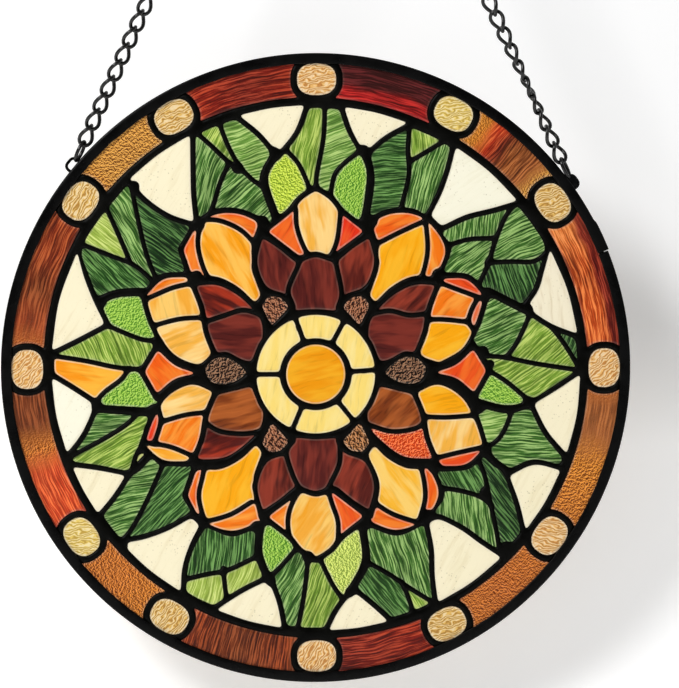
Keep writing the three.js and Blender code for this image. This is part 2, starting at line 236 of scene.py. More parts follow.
def evenly(points, step):
    closed = np.vstack([points, points[:1]])
    lengths = np.concatenate([[0], np.cumsum(np.hypot(*np.diff(closed, axis=0).T))])
    count = max(8, round(lengths[-1] / step))
    places = np.linspace(0, lengths[-1], count, endpoint=False)
    return np.column_stack([np.interp(places, lengths, closed[:, axis]) for axis in (0, 1)])


def softened(points):
    points = evenly(points, outlinePlan["step"] * 0.75)
    for _ in range(outlinePlan["rounding"]):
        points = (np.roll(points, 1, axis=0) + 2 * points + np.roll(points, -1, axis=0)) / 4
    return points

# The pattern. Cut lines are the lead lines inside one plate; each pane is named by a point in
# it, its tones, its texture and the direction of its grain in degrees.

# The second tone of each pair is the colour of the streaks and clouds; in hammered glass, nuggets and the
# hammered stretches of the bars it is also the painted shade in the pits of the bumps.
tones = dict(
    cream=((250, 240, 206), (232, 218, 176)),
    paleCream=((251, 247, 224), (236, 230, 198)),
    woodCream=((246, 236, 208), (200, 178, 132)),
    darkLeaf=((40, 82, 28), (112, 156, 84)),
    deepLeaf=((24, 56, 20), (98, 142, 76)),
    midLeaf=((62, 110, 38), (156, 190, 112)),
    softLeaf=((108, 154, 62), (182, 208, 124)),
    lightLeaf=((118, 156, 48), (188, 206, 106)),
    limeLeaf=((160, 186, 74), (206, 218, 128)),
    paleLeaf=((210, 216, 120), (232, 234, 160)),
    brightSepal=((196, 216, 62), (112, 146, 30)),
    greenSepal=((146, 192, 62), (70, 128, 32)),
    dottedSepal=((206, 220, 104), (122, 150, 52)),
    yellow=((250, 167, 6), (252, 186, 42)),
    amber=((248, 158, 18), (253, 196, 88)),
    deepAmber=((248, 150, 20), (252, 186, 62)),
    honey=((251, 184, 48), (253, 212, 116)),
    peach=((246, 178, 66), (254, 216, 140)),
    peachBand=((251, 202, 106), (244, 164, 40)),
    orange=((244, 118, 14), (252, 162, 62)),
    deepOrange=((240, 92, 14), (247, 134, 42)),
    redOrange=((234, 72, 20), (244, 112, 36)),
    scarlet=((230, 50, 22), (240, 92, 40)),
    pinkRed=((224, 78, 44), (236, 118, 70)),
    flecked=((232, 78, 16), (178, 38, 8)),
    maroon=((82, 25, 21), (128, 48, 36)),
    darkRed=((86, 26, 18), (148, 56, 38)),
    redPatch=((84, 22, 16), (172, 52, 28)),
    brown=((122, 54, 16), (178, 94, 40)),
    seed=((112, 54, 30), (26, 10, 5)),
    goldSeed=((140, 86, 36), (36, 17, 6)),
    darkSeed=((58, 29, 17), (12, 6, 3)),
    eye=((240, 152, 4), (246, 176, 34)),
    ring=((251, 220, 118), (252, 228, 146)),
    jewel=((230, 186, 100), (158, 104, 40)),
    peachJewel=((236, 184, 108), (178, 108, 48)),
    yellowJewel=((234, 204, 108), (178, 138, 52)),
    redBar=((138, 28, 14), (194, 72, 40)),
    goldBar=((208, 146, 62), (96, 50, 14)),
    amberBar=((214, 130, 38), (104, 50, 12)),
    mottledBar=((138, 50, 22), (184, 92, 48)),
    brownBar=((106, 46, 20), (154, 82, 44)),
    darkBand=((92, 30, 16), (148, 58, 34)),
    brownBand=((144, 76, 34), (186, 112, 60)),
    flameBar=((198, 56, 24), (238, 116, 62)),
    orangeBar=((200, 112, 36), (100, 44, 12)),
    umberBar=((106, 40, 17), (176, 80, 38)),
    deepBar=((106, 22, 14), (162, 62, 42)),
    copperBar=((190, 100, 34), (106, 44, 12)),
    streakBar=((190, 72, 24), (236, 130, 66)),
    sunBar=((224, 120, 46), (246, 170, 100)),
    wineBar=((60, 18, 18), (98, 34, 34)),
    wineEdge=((156, 22, 24), (196, 46, 40)),
)

panePlan = {
    "dark_trio_1": dict(
        cuts=[[(-11.5, 31), (-13.6, 37.5), (-9, 48.5), (-7.5, 53)],
              [(10.5, 30), (12, 36), (9.5, 49), (8.5, 53)]],
        panes=[((-18, 50), "maroon", 100), ((0, 42), "maroon", 92), ((17, 45), "darkRed", 82)]),
    "dark_trio_2": dict(
        cuts=[[(-15, -36), (-14, -43), (-10, -54), (-5, -61)], [(11, -35), (11, -45), (7, -54), (4, -60)]],
        panes=[((-20, -53), "darkRed", 82), ((-2, -45), "maroon", 84), ((17, -53), "darkRed", 66)]),
    "dark_pair_1": dict(
        cuts=[[(26, 26), (35, 27.5), (44, 25.3), (52, 26)]],
        panes=[((43, 34), "darkRed", 40), ((38, 16), "maroon", 2)]),
    "dark_pair_2": dict(
        cuts=[[(-26, 25.5), (-35, 28), (-45, 25), (-53, 22.5)]],
        panes=[((-45, 36), "redPatch", 155), ((-38, 15), "maroon", 178)]),
    "dark_pair_3": dict(
        cuts=[[(-26, -29.5), (-34, -31), (-46, -29.8), (-54, -25)]],
        panes=[((-38, -19), "brown", 16), ((-43, -37), "redPatch", 18)]),
    "dark_pair_4": dict(
        cuts=[[(25, -27), (36, -30.2), (48, -28.5), (53, -24)]],
        panes=[((35, -18), "brown", 42), ((43, -37), "flecked", 0, "hammered")]),
    "flame_petal_1": dict(
        cuts=[[(-3, 52), (-7, 60), (-9.5, 68), (-9.8, 76)], [(6, 52), (9.5, 60), (11, 70), (11.5, 77)]],
        panes=[((-16, 65), "redOrange", 60), ((0, 68), "peach", 95), ((15, 62), "scarlet", 70)]),
    "flame_petal_2": dict(
        cuts=[[(-8, -58), (-12, -65), (-13.8, -73), (-12.5, -83)],
              [(5, -57), (7.5, -65), (10.2, -73), (10.2, -82)]],
        panes=[((-18, -72), "orange", 40), ((-2, -75), "peachBand", 55), ((13, -71), "redOrange", 120)]),
    "gold_petal_1": dict(
        cuts=[[(52, 70), (53, 58), (52, 50), (50, 43)], [(51, 70), (40, 65), (27, 58.5)]],
        panes=[((38, 69), "deepOrange", 20), ((40, 53), "yellow", 70), ((56, 57), "orange", 100)]),
    "gold_petal_2": dict(
        cuts=[[(-54.8, 71), (-56.5, 60), (-54.5, 50), (-51.5, 43)],
              [(-55, 71), (-46, 70.5), (-36, 66), (-29, 59)]],
        panes=[((-38, 70), "deepOrange", 160), ((-42, 54), "amber", 118), ((-59, 52), "deepOrange", 80)]),
    "gold_petal_3": dict(
        cuts=[[(-53, -45), (-54.5, -52), (-56.2, -61), (-53.5, -73)],
              [(-31, -63.5), (-41, -69.5), (-53, -73)]],
        panes=[((-58, -55), "deepOrange", 95), ((-43, -55), "yellow", 70), ((-40, -72), "orange", 10)]),
    "gold_petal_4": dict(
        cuts=[[(49.5, -45.5), (51.5, -55), (51.8, -63), (49, -73)], [(26, -63), (36, -69.5), (49, -74)]],
        panes=[((40, -56), "honey", 125), ((35, -73), "deepOrange", 165), ((54, -59), "deepOrange", 85)]),
    "side_petal_1": dict(
        cuts=[[(57, 41.5), (66, 38), (81, 32.5)], [(49, 23), (60, 23.3), (72.5, 22)],
              [(77, 33.5), (74, 28), (72.6, 22), (76, 17)]],
        panes=[((70, 38), "redOrange", 150), ((62, 30), "orange", 40), ((76, 26), "pinkRed", 70),
               ((60, 13), "yellow", 25)]),
    "side_petal_2": dict(
        cuts=[[(-84, 32), (-76, 35.5), (-68, 38.8), (-58, 41)], [(-78, 20.5), (-65, 23.8), (-52, 24.5)]],
        panes=[((-70, 41), "orange", 20), ((-67, 30), "peachBand", 100), ((-62, 14), "peach", 25)]),
    "side_petal_3": dict(
        cuts=[[(-50, -20.5), (-62, -21.8), (-73.5, -25)], [(-75.5, -18), (-74.2, -25), (-77.5, -36)],
              [(-82, -35), (-70, -37), (-58, -42)]],
        panes=[((-62, -14), "peach", 15), ((-64, -30), "orange", 55), ((-78, -28), "scarlet", 70),
               ((-70, -42), "amber", 165)]),
    "side_petal_4": dict(
        cuts=[[(49, -23), (62, -23.5), (76.5, -22.5)], [(55, -43.5), (65, -41), (81, -37.5)]],
        panes=[((60, -15), "yellow", 10), ((62, -32), "peach", 75), ((68, -44), "redOrange", 20)]),
    "side_flame_1": dict(panes=[((73, 0), "redOrange", 60)]),
    "side_flame_2": dict(panes=[((-73, 0), "deepOrange", 130)]),
    "leaf_1": dict(
        cuts=[[(60, 57.5), (72, 61.3), (85, 62)], [(78, 41), (82, 50), (85, 60), (90, 72), (96, 80)],
              [(81, 50.3), (93, 50.8), (104, 51), (112, 57)]],
        panes=[((77, 69), "midLeaf", 85), ((73, 54), "midLeaf", 36), ((98, 62), "midLeaf", 24),
               ((94, 42), "deepLeaf", 112)]),
    "leaf_2": dict(
        cuts=[[(44.5, 118), (43.5, 104), (44, 92), (40.5, 77), (41, 73)],
              [(44.5, 98.5), (53, 103.5), (62, 109)]],
        panes=[((34, 94), "darkLeaf", 4), ((50, 107), "lightLeaf", 100), ((53, 90), "midLeaf", 74)]),
    "leaf_3": dict(
        cuts=[[(4, 128), (3.3, 110), (0, 92), (0, 86)], [(-15.5, 105), (-9, 98), (-5, 90), (-2.5, 83)],
              [(23, 105), (18, 101.5), (13, 97.5), (8.5, 92), (6.5, 82)]],
        panes=[((-8, 110), "lightLeaf", 76), ((10, 108), "softLeaf", 20),
               ((-14, 88), "brightSepal", 100, "hammered"),
               ((17, 87), "greenSepal", 30, "hammered")]),
    "leaf_4": dict(
        cuts=[[(-47, 119), (-42.5, 107), (-37, 97), (-30, 89.5), (-21, 84)],
              [(-58, 113), (-50, 106), (-42, 98.5), (-36, 95)],
              [(-41.5, 98), (-46, 88), (-49, 78), (-52, 72)]],
        panes=[((-48, 111), "lightLeaf", 62), ((-32, 105), "softLeaf", 18), ((-54, 90), "midLeaf", 72),
               ((-38, 84), "midLeaf", 40)]),
    "leaf_5": dict(
        cuts=[[(-88, 87), (-85, 72), (-81, 55), (-76, 42)], [(-101, 79), (-95, 66), (-89, 52)],
              [(-113, 60), (-98, 54), (-86, 49), (-76, 40)]],
        panes=[((-100, 63), "limeLeaf", 142), ((-90, 70), "midLeaf", 124), ((-73, 62), "deepLeaf", 146),
               ((-97, 45), "darkLeaf", 136)]),
    "leaf_6": dict(
        cuts=[[(-129, 7), (-110, 4), (-96, 1), (-85, 0), (-80, 2)],
              [(-102, 22), (-92, 17.5), (-82, 13.8), (-75, 14)],
              [(-89, 0.5), (-93, -5), (-101, -11), (-106, -17)]],
        panes=[((-98, 10), "lightLeaf", 112), ((-88, 25), "greenSepal", 0, "hammered"),
               ((-110, -3), "deepAmber", 172, "smooth"),
               ((-88, -11), "greenSepal", 10, "hammered")]),
    "leaf_7": dict(
        cuts=[[(-82.5, -18), (-90, -26), (-101, -33), (-116, -41)], [(-81, -35), (-85.5, -40), (-88, -48)]],
        panes=[((-98, -23), "midLeaf", 4), ((-98, -38), "lightLeaf", 30), ((-84, -41), "paleLeaf", 60)]),
    "leaf_8": dict(
        cuts=[[(-72, -43), (-76, -52), (-81, -63), (-88, -76), (-94, -83)]],
        panes=[((-88, -60), "midLeaf", 14), ((-70, -62), "darkLeaf", 44)]),
    "leaf_9": dict(
        cuts=[[(-65, -101), (-52, -98), (-42, -96), (-26, -88.5)], [(-44.5, -95), (-44, -102), (-43, -110)]],
        panes=[((-45, -87), "darkLeaf", 86), ((-53, -104), "limeLeaf", 76), ((-34, -99), "limeLeaf", 68)]),
    "leaf_10": dict(
        cuts=[[(-4, -88), (-5, -100), (-7, -114), (-10, -128)],
              [(-9, -85), (-13, -90), (-18, -95.5), (-24, -101)],
              [(0, -87), (3, -94), (8, -104), (13, -111)]],
        panes=[((-14, -106), "midLeaf", 62), ((0, -108), "lightLeaf", 70),
               ((-20, -87), "greenSepal", 40, "hammered"),
               ((13, -93), "dottedSepal", 60, "hammered")]),
    "leaf_11": dict(
        cuts=[[(21, -91), (33, -97.5), (45, -105.5), (57, -113)], [(40.5, -102), (44, -110), (47, -120)]],
        panes=[((40, -89), "midLeaf", 108), ((32, -106), "darkLeaf", 128), ((48, -110), "lightLeaf", 122)]),
    "leaf_12": dict(
        cuts=[[(77, -43), (80.5, -52), (83, -64), (86, -78), (88, -90)],
              [(57, -57), (68, -58.5), (78, -61.5), (84, -66)]],
        panes=[((71, -53), "darkLeaf", 124), ((72, -69), "midLeaf", 98), ((88, -66), "deepLeaf", 128)]),
    "leaf_13": dict(
        cuts=[[(94, -18), (91, -27), (86.5, -34.5), (79, -39)]],
        panes=[((85, -26), "softLeaf", 8), ((99, -36), "midLeaf", 178)]),
    "leaf_14": dict(
        cuts=[[(103, 29), (99.5, 20), (95, 11), (90.5, 5)], [(78, 6), (90, 5), (105, 2), (128, -1.5)],
              [(82, -1), (90, -6), (98, -12.5), (104, -18)], [(103, 26), (111, 20.5), (118, 12), (125.5, 0)]],
        panes=[((87, 21), "midLeaf", 24), ((109, 12), "lightLeaf", 44), ((102, -5), "lightLeaf", 32),
               ((88, -12), "greenSepal", 120, "hammered"), ((121, 13), "deepLeaf", 60)]),
}

# Places where several lines meet in a wider pool of solder: x, z and radius
solderJoints = [
    (79.5, 8, 2.8), (83, 2, 2.2), (77.5, -19, 3.0), (101.5, -16.5, 3.0), (81.5, 35.5, 2.8),
    (-75.5, 12.5, 2.8),
    (-77.5, -19, 2.6), (-104.5, -17.5, 2.8), (-102.5, 32, 2.8), (-28.5, -75.5, 3.0), (23.5, -74, 3.0),
    (-4, -90, 3.0),
    (-25.5, 70, 3.0), (26, 70, 3.2), (-57, 44, 3.0), (58, 44.5, 3.2), (-57, -45.5, 3.0), (56, -47, 3.2),
    (-37.5, 95.5, 3.0), (-56, 68.5, 3.0), (-55, -72, 2.8), (53, -70.5, 3.0), (101, 28, 2.6), (-86.5, 87, 2.6),
    (100, 79, 3.4), (-93, -84, 3.0), (91, -86, 3.2), (80, -59, 2.2), (82.5, 51, 2.0), (-20, 103, 2.6),
    (22.5, 104, 2.6),
    (-22, -101.5, 2.6), (16, -107, 2.6), (-83, -38, 2.4), (81, -40, 2.8),
]

plateFamilies = dict(
    dark="smooth", flame="smooth", gold="smooth", side="smooth", leaf="streaky",
    background="seedy", seed="nugget", eye="smooth",
)

soloPanes = {
    "eye": ("eye", 12), "eye_ring": ("ring", 80),
    "seed_1": ("seed", 20), "seed_2": ("seed", 100), "seed_3": ("seed", 60), "seed_4": ("goldSeed", 75),
    "side_seed_1": ("darkSeed", 0), "side_seed_2": ("darkSeed", 0),
    "background_1": ("woodCream", 96), "background_2": ("paleCream", 30), "background_7": ("paleCream", 60),
}

borderPlan = dict(
    radius=137.5, wide=18.6, high=15.0, squareness=2.5, lead=3.2, inner=129.4, outer=145.6, oval=1.1,
    ovalTurn=145,
    jewels=[(0, "peachJewel", 40), (35, "jewel", 20), (61.7, "yellowJewel", 8), (90, "peachJewel", 10),
            (119.5, "jewel", 24), (144.5, "jewel", 60), (180, "peachJewel", 50), (215.5, "yellowJewel", 4),
            (239.3, "jewel", 50), (270, "peachJewel", 60), (297, "jewel", 15), (324.2, "peachJewel", 170)],
    bars=[
        dict(stops=[(0, "streakBar", 0), (0.6, "streakBar", 0), (1, "sunBar", 0.4)], outer="deepBar"),
        dict(turn=90, stops=[(0, "goldBar", 1), (0.2, "goldBar", 1), (0.3, "brownBand", 0),
                             (0.46, "brownBand", 0),
                             (0.56, "darkBand", 0), (0.66, "flameBar", 0), (0.74, "amberBar", 0.6),
                             (1, "goldBar", 1)]),
        dict(stops=[(0, "wineBar", 0), (1, "wineBar", 0)], inner="wineEdge"),
        dict(stops=[(0, "redBar", 0), (0.5, "deepBar", 0), (0.9, "redBar", 0), (1, "flameBar", 0.3)]),
        dict(stops=[(0, "amberBar", 1), (0.2, "goldBar", 1), (0.7, "goldBar", 1), (1, "amberBar", 1)]),
        dict(stops=[(0, "mottledBar", 0), (0.35, "mottledBar", 0), (0.55, "brownBar", 0),
                    (0.75, "mottledBar", 0.3),
                    (0.9, "copperBar", 1), (1, "orangeBar", 1)]),
        dict(stops=[(0, "brownBar", 0), (0.3, "brownBar", 0.2), (0.46, "orangeBar", 1),
                    (0.58, "flameBar", 0.2),
                    (1, "flameBar", 0)]),
        dict(stops=[(0, "orangeBar", 1), (0.5, "orangeBar", 1), (1, "amberBar", 1)]),
        dict(turn=90, stops=[(0, "flameBar", 0.6), (0.2, "umberBar", 0), (0.5, "brownBar", 0),
                             (0.8, "umberBar", 0),
                             (1, "copperBar", 0.7)]),
        dict(stops=[(0, "deepBar", 0), (1, "redBar", 0)]),
        dict(stops=[(0, "orangeBar", 1), (0.5, "copperBar", 1), (1, "orangeBar", 1)]),
        dict(stops=[(0, "orangeBar", 1), (0.45, "amberBar", 1), (0.62, "brownBand", 0.5),
                    (0.78, "brownBand", 0.3),
                    (0.9, "copperBar", 1), (1, "copperBar", 1)]),
    ],
)


def polar(radius, degrees):
    angle = math.radians(degrees)
    return np.array([radius * math.cos(angle), radius * math.sin(angle)])


def jewelLoop(degrees, extra):
    plan = borderPlan
    centre = polar(plan["radius"], degrees)
    outward = polar(1, degrees)
    sideways = polar(1, degrees + 90)
    loop = []
    for turn in np.linspace(0, 2 * math.pi, 64, endpoint=False):
        wide, high = [math.copysign(abs(part) ** (2 / plan["squareness"]), part)
                      for part in (math.cos(turn), math.sin(turn))]
        point = (centre + sideways * wide * (plan["wide"] / 2 + extra)
                 - outward * high * (plan["high"] / 2 + extra))
        loop.append(point * min(1, (plan["outer"] + extra) / np.hypot(*point)))
    return counterClockwise(np.array(loop))


def barLoop(start, end):
    collars = [jewelLoop(start, borderPlan["lead"]), jewelLoop(end, borderPlan["lead"])]
    angles = np.arange(start, end + 0.1, 0.5)
    swells = [borderPlan["oval"] * math.cos(2 * math.radians(angle - borderPlan["ovalTurn"]))
              for angle in angles]
    inner = [polar(borderPlan["inner"] + swell, angle) for angle, swell in zip(angles, swells)]
    outer = [polar(borderPlan["outer"], angle) for angle in angles[::-1]]
    return max(splitPlate(counterClockwise(np.array(inner + outer)), [], collars), key=signedArea)


def eyeSpokes():
    low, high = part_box("eye")
    centre = np.array([(low[0] + high[0]) / 2 / mm, ((low[2] + high[2]) / 2 - centreZ) / mm])
    return [[centre + polar(radius, degrees) for radius in (14.5, 20, 25.5, 31)]
            for degrees in (4, 62, 110, 180, 247, 309)]


def plateOpenings(nodeName):
    outer, *holes = [smoothLoop(points) for points in frontLoops(nodeName)]
    outer = grown(outer, outlinePlan["gap"])
    holes = [grown(hole, -outlinePlan["gap"]) for hole in holes]
    plan = panePlan.get(nodeName, {})
    cuts = eyeSpokes() if nodeName == "eye_ring" else plan.get("cuts", [])
    strips = [strip(line, outlinePlan["cut"]) for line in cuts]
    middle = outer.mean(axis=0)
    for degrees, *_ in borderPlan["jewels"]:
        if np.hypot(*(middle - polar(borderPlan["radius"], degrees))) < 60:
            strips.append(jewelLoop(degrees, borderPlan["lead"]))
    low, high = outer.min(axis=0), outer.max(axis=0)
    for x, z, radius in solderJoints:
        if low[0] - radius < x < high[0] + radius and low[1] - radius < z < high[1] + radius:
            strips.append(np.array([(x, z) + polar(radius, degrees) for degrees in range(0, 360, 15)]))
    family = nodeName.replace("side_seed", "seed").split("_")[0]
    kind = plateFamilies[family]
    panes = []
    for loop in splitPlate(outer, holes, strips):
        if "panes" in plan:
            closest = min(plan["panes"], key=lambda pane: np.hypot(*(loop.mean(axis=0) - pane[0])))
            tone, grain = closest[1:3]
            texture = closest[3] if len(closest) > 3 else kind
        else:
            tone, grain = soloPanes.get(nodeName, ("cream", 60))
            texture = kind
        panes.append(dict(loop=loop, tone=tone, grain=grain, kind=texture))
    if "panes" in plan and len(panes) != len(plan["panes"]):
        print(nodeName, "has", len(panes), "panes for", len(plan["panes"]), "planned")
    return panes


def borderOpenings():
    panes = []
    jewels = borderPlan["jewels"]
    for index, (degrees, tone, grain) in enumerate(jewels):
        panes.append(dict(loop=evenly(jewelLoop(degrees, 0), 0.75), tone=tone, grain=grain, kind="ripple"))
        following = jewels[(index + 1) % len(jewels)][0] + (360 if index + 1 == len(jewels) else 0)
        panes.append(dict(loop=barLoop(degrees, following), kind="bar", ends=(degrees, following),
                          bar=borderPlan["bars"][index]))
    return panes


openings = {}
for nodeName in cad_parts:
    if nodeName.startswith(("chain", "rim", "hanging", "lead")):
        continue
    openings[nodeName] = borderOpenings() if nodeName == "border_glass" else plateOpenings(nodeName)
print("outlines read:", sum(len(panes) for panes in openings.values()), "panes")

# Meshes

def distanceTree(loops, step=0.3):
    points = np.vstack([evenly(loop, step) for loop in loops])
    tree = kdtree.KDTree(len(points))
    for index, (x, z) in enumerate(points):
        tree.insert((x, z, 0), index)
    tree.balance()
    return tree


def distances(tree, points):
    return np.array([tree.find((x, z, 0))[2] for x, z in points])


def hexPoints(low, high, step):
    rows = np.arange(low[1], high[1], step * math.sqrt(0.75))
    columns = np.arange(low[0], high[0], step)
    x, z = np.meshgrid(columns, rows)
    x[1::2] += step / 2
    return np.column_stack([x.ravel(), z.ravel()])


def noiseAt(points, size, seed):
    shift = seed * 17.3
    return np.array([noise.noise((x / size + shift, z / size - shift, shift)) for x, z in points])


def along(points, degrees):
    return np.column_stack([points @ polar(1, degrees), points @ polar(1, degrees + 90)])


def roundedStep(values):
    values = np.clip(values, 0, 1)
    return values * values * (3 - 2 * values)


reliefPlan = dict(
    smooth=dict(step=1.5, sizes=[(9, 0.10)]),
    streaky=dict(step=1.3, sizes=[(7, 0.09)]),
    seedy=dict(step=1.5, sizes=[(9, 0.08), (3, 0.03)]),
    hammered=dict(step=0.62, sizes=[(1.25, 0.2), (5, 0.08)]),
    nugget=dict(step=0.55, sizes=[(1.2, 0.26), (5, 0.1)]),
    bar=dict(step=0.7, sizes=[(7, 0.08)]),
    ripple=dict(step=0.62, sizes=[(5, 0.06)]),
)


def relief(points, pane, seed):
    height = np.zeros(len(points))
    for size, depth in reliefPlan[pane["kind"]]["sizes"]:
        height += depth * noiseAt(points, size, seed)
    if pane["kind"] == "bar":
        height += 0.2 * barTexture(points, pane) * noiseAt(points, 1.1, seed)
    if pane["kind"] == "ripple":
        turned = along(points, pane["grain"]) * (0.55, 1.0)
        height += 0.1 * np.sin(noiseAt(turned, 5, seed) * 14 + turned[:, 1] * 3.6)
    return height


def paneMesh(pane, seed):
    loop = pane["loop"]
    count = len(loop)
    step = reliefPlan[pane["kind"]]["step"]
    tree = distanceTree([loop])
    extra = [points[distances(tree, points) > inset * 0.93]
             for inset, points in ((0.4, evenly(grown(loop, -0.4), 0.8)),
                                   (0.95, evenly(grown(loop, -0.95), 0.95)))]
    field = hexPoints(loop.min(axis=0), loop.max(axis=0), step)
    field = field[inside(field, loop)]
    extra.append(field[distances(tree, field) > 0.95 + 0.45 * step])
    extra = np.vstack(extra)
    extra = extra[inside(extra, loop)]
    sparse = extra[random.Random(seed).sample(range(len(extra)), len(extra) // 12)]
    places, heights, edges, faces = [], [], [], []
    for side, points in ((-1, extra), (1, sparse)):
        verts, tris = triangulate([loop], points)
        tris = tris[inside(verts[tris].mean(axis=1), loop)]
        depth = distances(tree, verts)
        depth[:count] = 0
        height = (glassHalf - 0.16 * (1 - roundedStep(depth / 1.1))
                  + relief(verts, pane, seed) * roundedStep(depth / 0.9))
        first = sum(len(part) for part in places)
        tris = tris if side < 0 else tris[:, ::-1]
        faces.append(tris + first)
        places.append(verts)
        heights.append(side * height)
        edges.append(depth)
    back = len(places[0])
    ring = np.arange(count)
    after = (ring + 1) % count
    faces.append(np.column_stack([ring, ring + back, after]))
    faces.append(np.column_stack([after, ring + back, after + back]))
    return np.vstack(places), np.concatenate(heights), np.concatenate(edges), np.vstack(faces)


def meshObject(name, flat, heights, faces, sharp=40):
    coords = np.column_stack([flat[:, 0] * mm, heights * mm, flat[:, 1] * mm + centreZ])
    mesh = bpy.data.meshes.new(name)
    mesh.from_pydata(coords.tolist(), [], faces.tolist())
    mesh.polygons.foreach_set("use_smooth", [True] * len(mesh.polygons))
    mesh.set_sharp_from_angle(angle=math.radians(sharp))
    piece = bpy.data.objects.new(name, mesh)
    bpy.context.scene.collection.objects.link(piece)
    return piece


def toLinear(colour):
    return [(part / 255 / 12.92) if part <= 10 else ((part / 255 + 0.055) / 1.055) ** 2.4 for part in colour]


def barShare(points, pane):
    start, end = pane["ends"]
    middle = math.radians((start + end) / 2)
    angle = np.arctan2(points[:, 1], points[:, 0]) - middle
    angle = (angle + math.pi) % (2 * math.pi) - math.pi
    return angle, 0.5 + angle / math.radians(end - start)


def barTexture(points, pane):
    shares, _, textures = zip(*pane["bar"]["stops"])
    return np.interp(barShare(points, pane)[1], shares, textures)


def barColours(points, pane, seed):
    plan = pane["bar"]
    share = barShare(points, pane)[1] + 0.03 * noiseAt(points, 6, seed)
    shares, names, _ = zip(*plan["stops"])
    radius = np.hypot(*points.T)
    layers = []
    for side in (0, 1):
        stops = np.array([toLinear(tones[name][side]) for name in names])
        mix = np.column_stack([np.interp(share, shares, stops[:, channel]) for channel in range(3)])
        for edge, sign in (("inner", -1), ("outer", 1)):
            if edge in plan:
                near = roundedStep(
                    (sign * (radius - borderPlan["radius"]) + 2 * noiseAt(points, 9, seed + 3) - 0.5) / 4)
                mix += near[:, None] * (np.array(toLinear(tones[plan[edge]][side])) - mix)
        layers.append(mix)
    return layers


def barGrain(points, pane):
    angle, _ = barShare(points, pane)
    grain = np.column_stack([angle * borderPlan["radius"], np.hypot(*points.T) - borderPlan["radius"]])
    return grain[:, ::-1] if pane["bar"].get("turn") else grain


def setColours(mesh, name, colours):
    layer = mesh.color_attributes.new(name, "FLOAT_COLOR", "POINT")
    layer.data.foreach_set("color", np.column_stack([colours, np.ones(len(colours))]).ravel())


def setNumbers(mesh, name, values):
    layer = mesh.attributes.new(name, "FLOAT", "POINT")
    layer.data.foreach_set("value", values)


def glassPiece(nodeName, panes, materials):
    kinds = sorted({pane["kind"] for pane in panes})
    parts = dict(flat=[], height=[], edge=[], faces=[], tint=[], streak=[], grain=[], texture=[], kind=[])
    first = 0
    for index, pane in enumerate(panes):
        seed = (sum(ord(letter) for letter in nodeName) * 7 + index * 13) % 97
        verts, height, edge, tris = paneMesh(pane, seed)
        if pane["kind"] == "bar":
            tint, streak = barColours(verts, pane, seed)
            grain, texture = barGrain(verts, pane), barTexture(verts, pane)
        else:
            tint, streak = [np.tile(toLinear(tone), (len(verts), 1)) for tone in tones[pane["tone"]]]
            grain, texture = along(verts, pane["grain"]), np.zeros(len(verts))
        found = dict(flat=verts, height=height, edge=edge, faces=tris + first, tint=tint, streak=streak,
                     grain=grain + seed * 31.7, texture=texture,
                     kind=np.full(len(tris), kinds.index(pane["kind"])))
        for key, values in found.items():
            parts[key].append(values)
        first += len(verts)
    parts = {key: np.concatenate(values) for key, values in parts.items()}
    piece = meshObject(nodeName + "_panes", parts["flat"], parts["height"], parts["faces"])
    mesh = piece.data
    setColours(mesh, "tint", parts["tint"])
    setColours(mesh, "streak", parts["streak"])
    setNumbers(mesh, "edge", parts["edge"])
    setNumbers(mesh, "texture", parts["texture"])
    uv = mesh.uv_layers.new(name="grain")
    order = np.empty(len(mesh.loops), int)
    mesh.loops.foreach_get("vertex_index", order)
    uv.data.foreach_set("uv", parts["grain"][order].ravel() / 100)
    for kind in kinds:
        mesh.materials.append(materials[kind])
    mesh.polygons.foreach_set("material_index", parts["kind"])
    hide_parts(nodeName)
    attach(piece, "root")
    return piece


netPlan = dict(bead=0.85, reach=1.3, base=1.45, lump=0.16, edge=145.0, outer=148.0, tucked=0.25)


def outsideAll(points, loops):
    free = np.ones(len(points), bool)
    for loop in loops:
        low, high = loop.min(axis=0), loop.max(axis=0)
        near = np.flatnonzero(free & (points > low).all(axis=1) & (points < high).all(axis=1))
        free[near] = ~inside(points[near], loop)
    return points[free]


def netPoints(loops, tree):
    outer = netPlan["outer"]
    shoulder, crown = [
        np.vstack([evenly(grown(loop, inset), step) for loop in loops])
        for inset, step in ((0.3, 0.95), (0.8, 1.1))]
    field = hexPoints((-outer, -outer), (outer, outer), 1.2)
    shoulder = outsideAll(shoulder[distances(tree, shoulder) > 0.26], loops)
    crown = outsideAll(crown[distances(tree, crown) > 0.72], loops)
    field = outsideAll(field[distances(tree, field) > 1.25], loops)
    extra = np.vstack([spaced(shoulder, 0.25), spaced(np.vstack([crown, field]), 0.5)])
    return extra[np.hypot(*extra.T) < outer - 0.4]


def spaced(points, least):
    cells = {}
    kept = []
    for point in points:
        key = (int(point[0] // least), int(point[1] // least))
        near = [other for dx in (-1, 0, 1) for dz in (-1, 0, 1)
                for other in cells.get((key[0] + dx, key[1] + dz), ())]
        if all(math.dist(point, other) > least for other in near):
            cells.setdefault(key, []).append(point)
            kept.append(point)
    return np.array(kept)


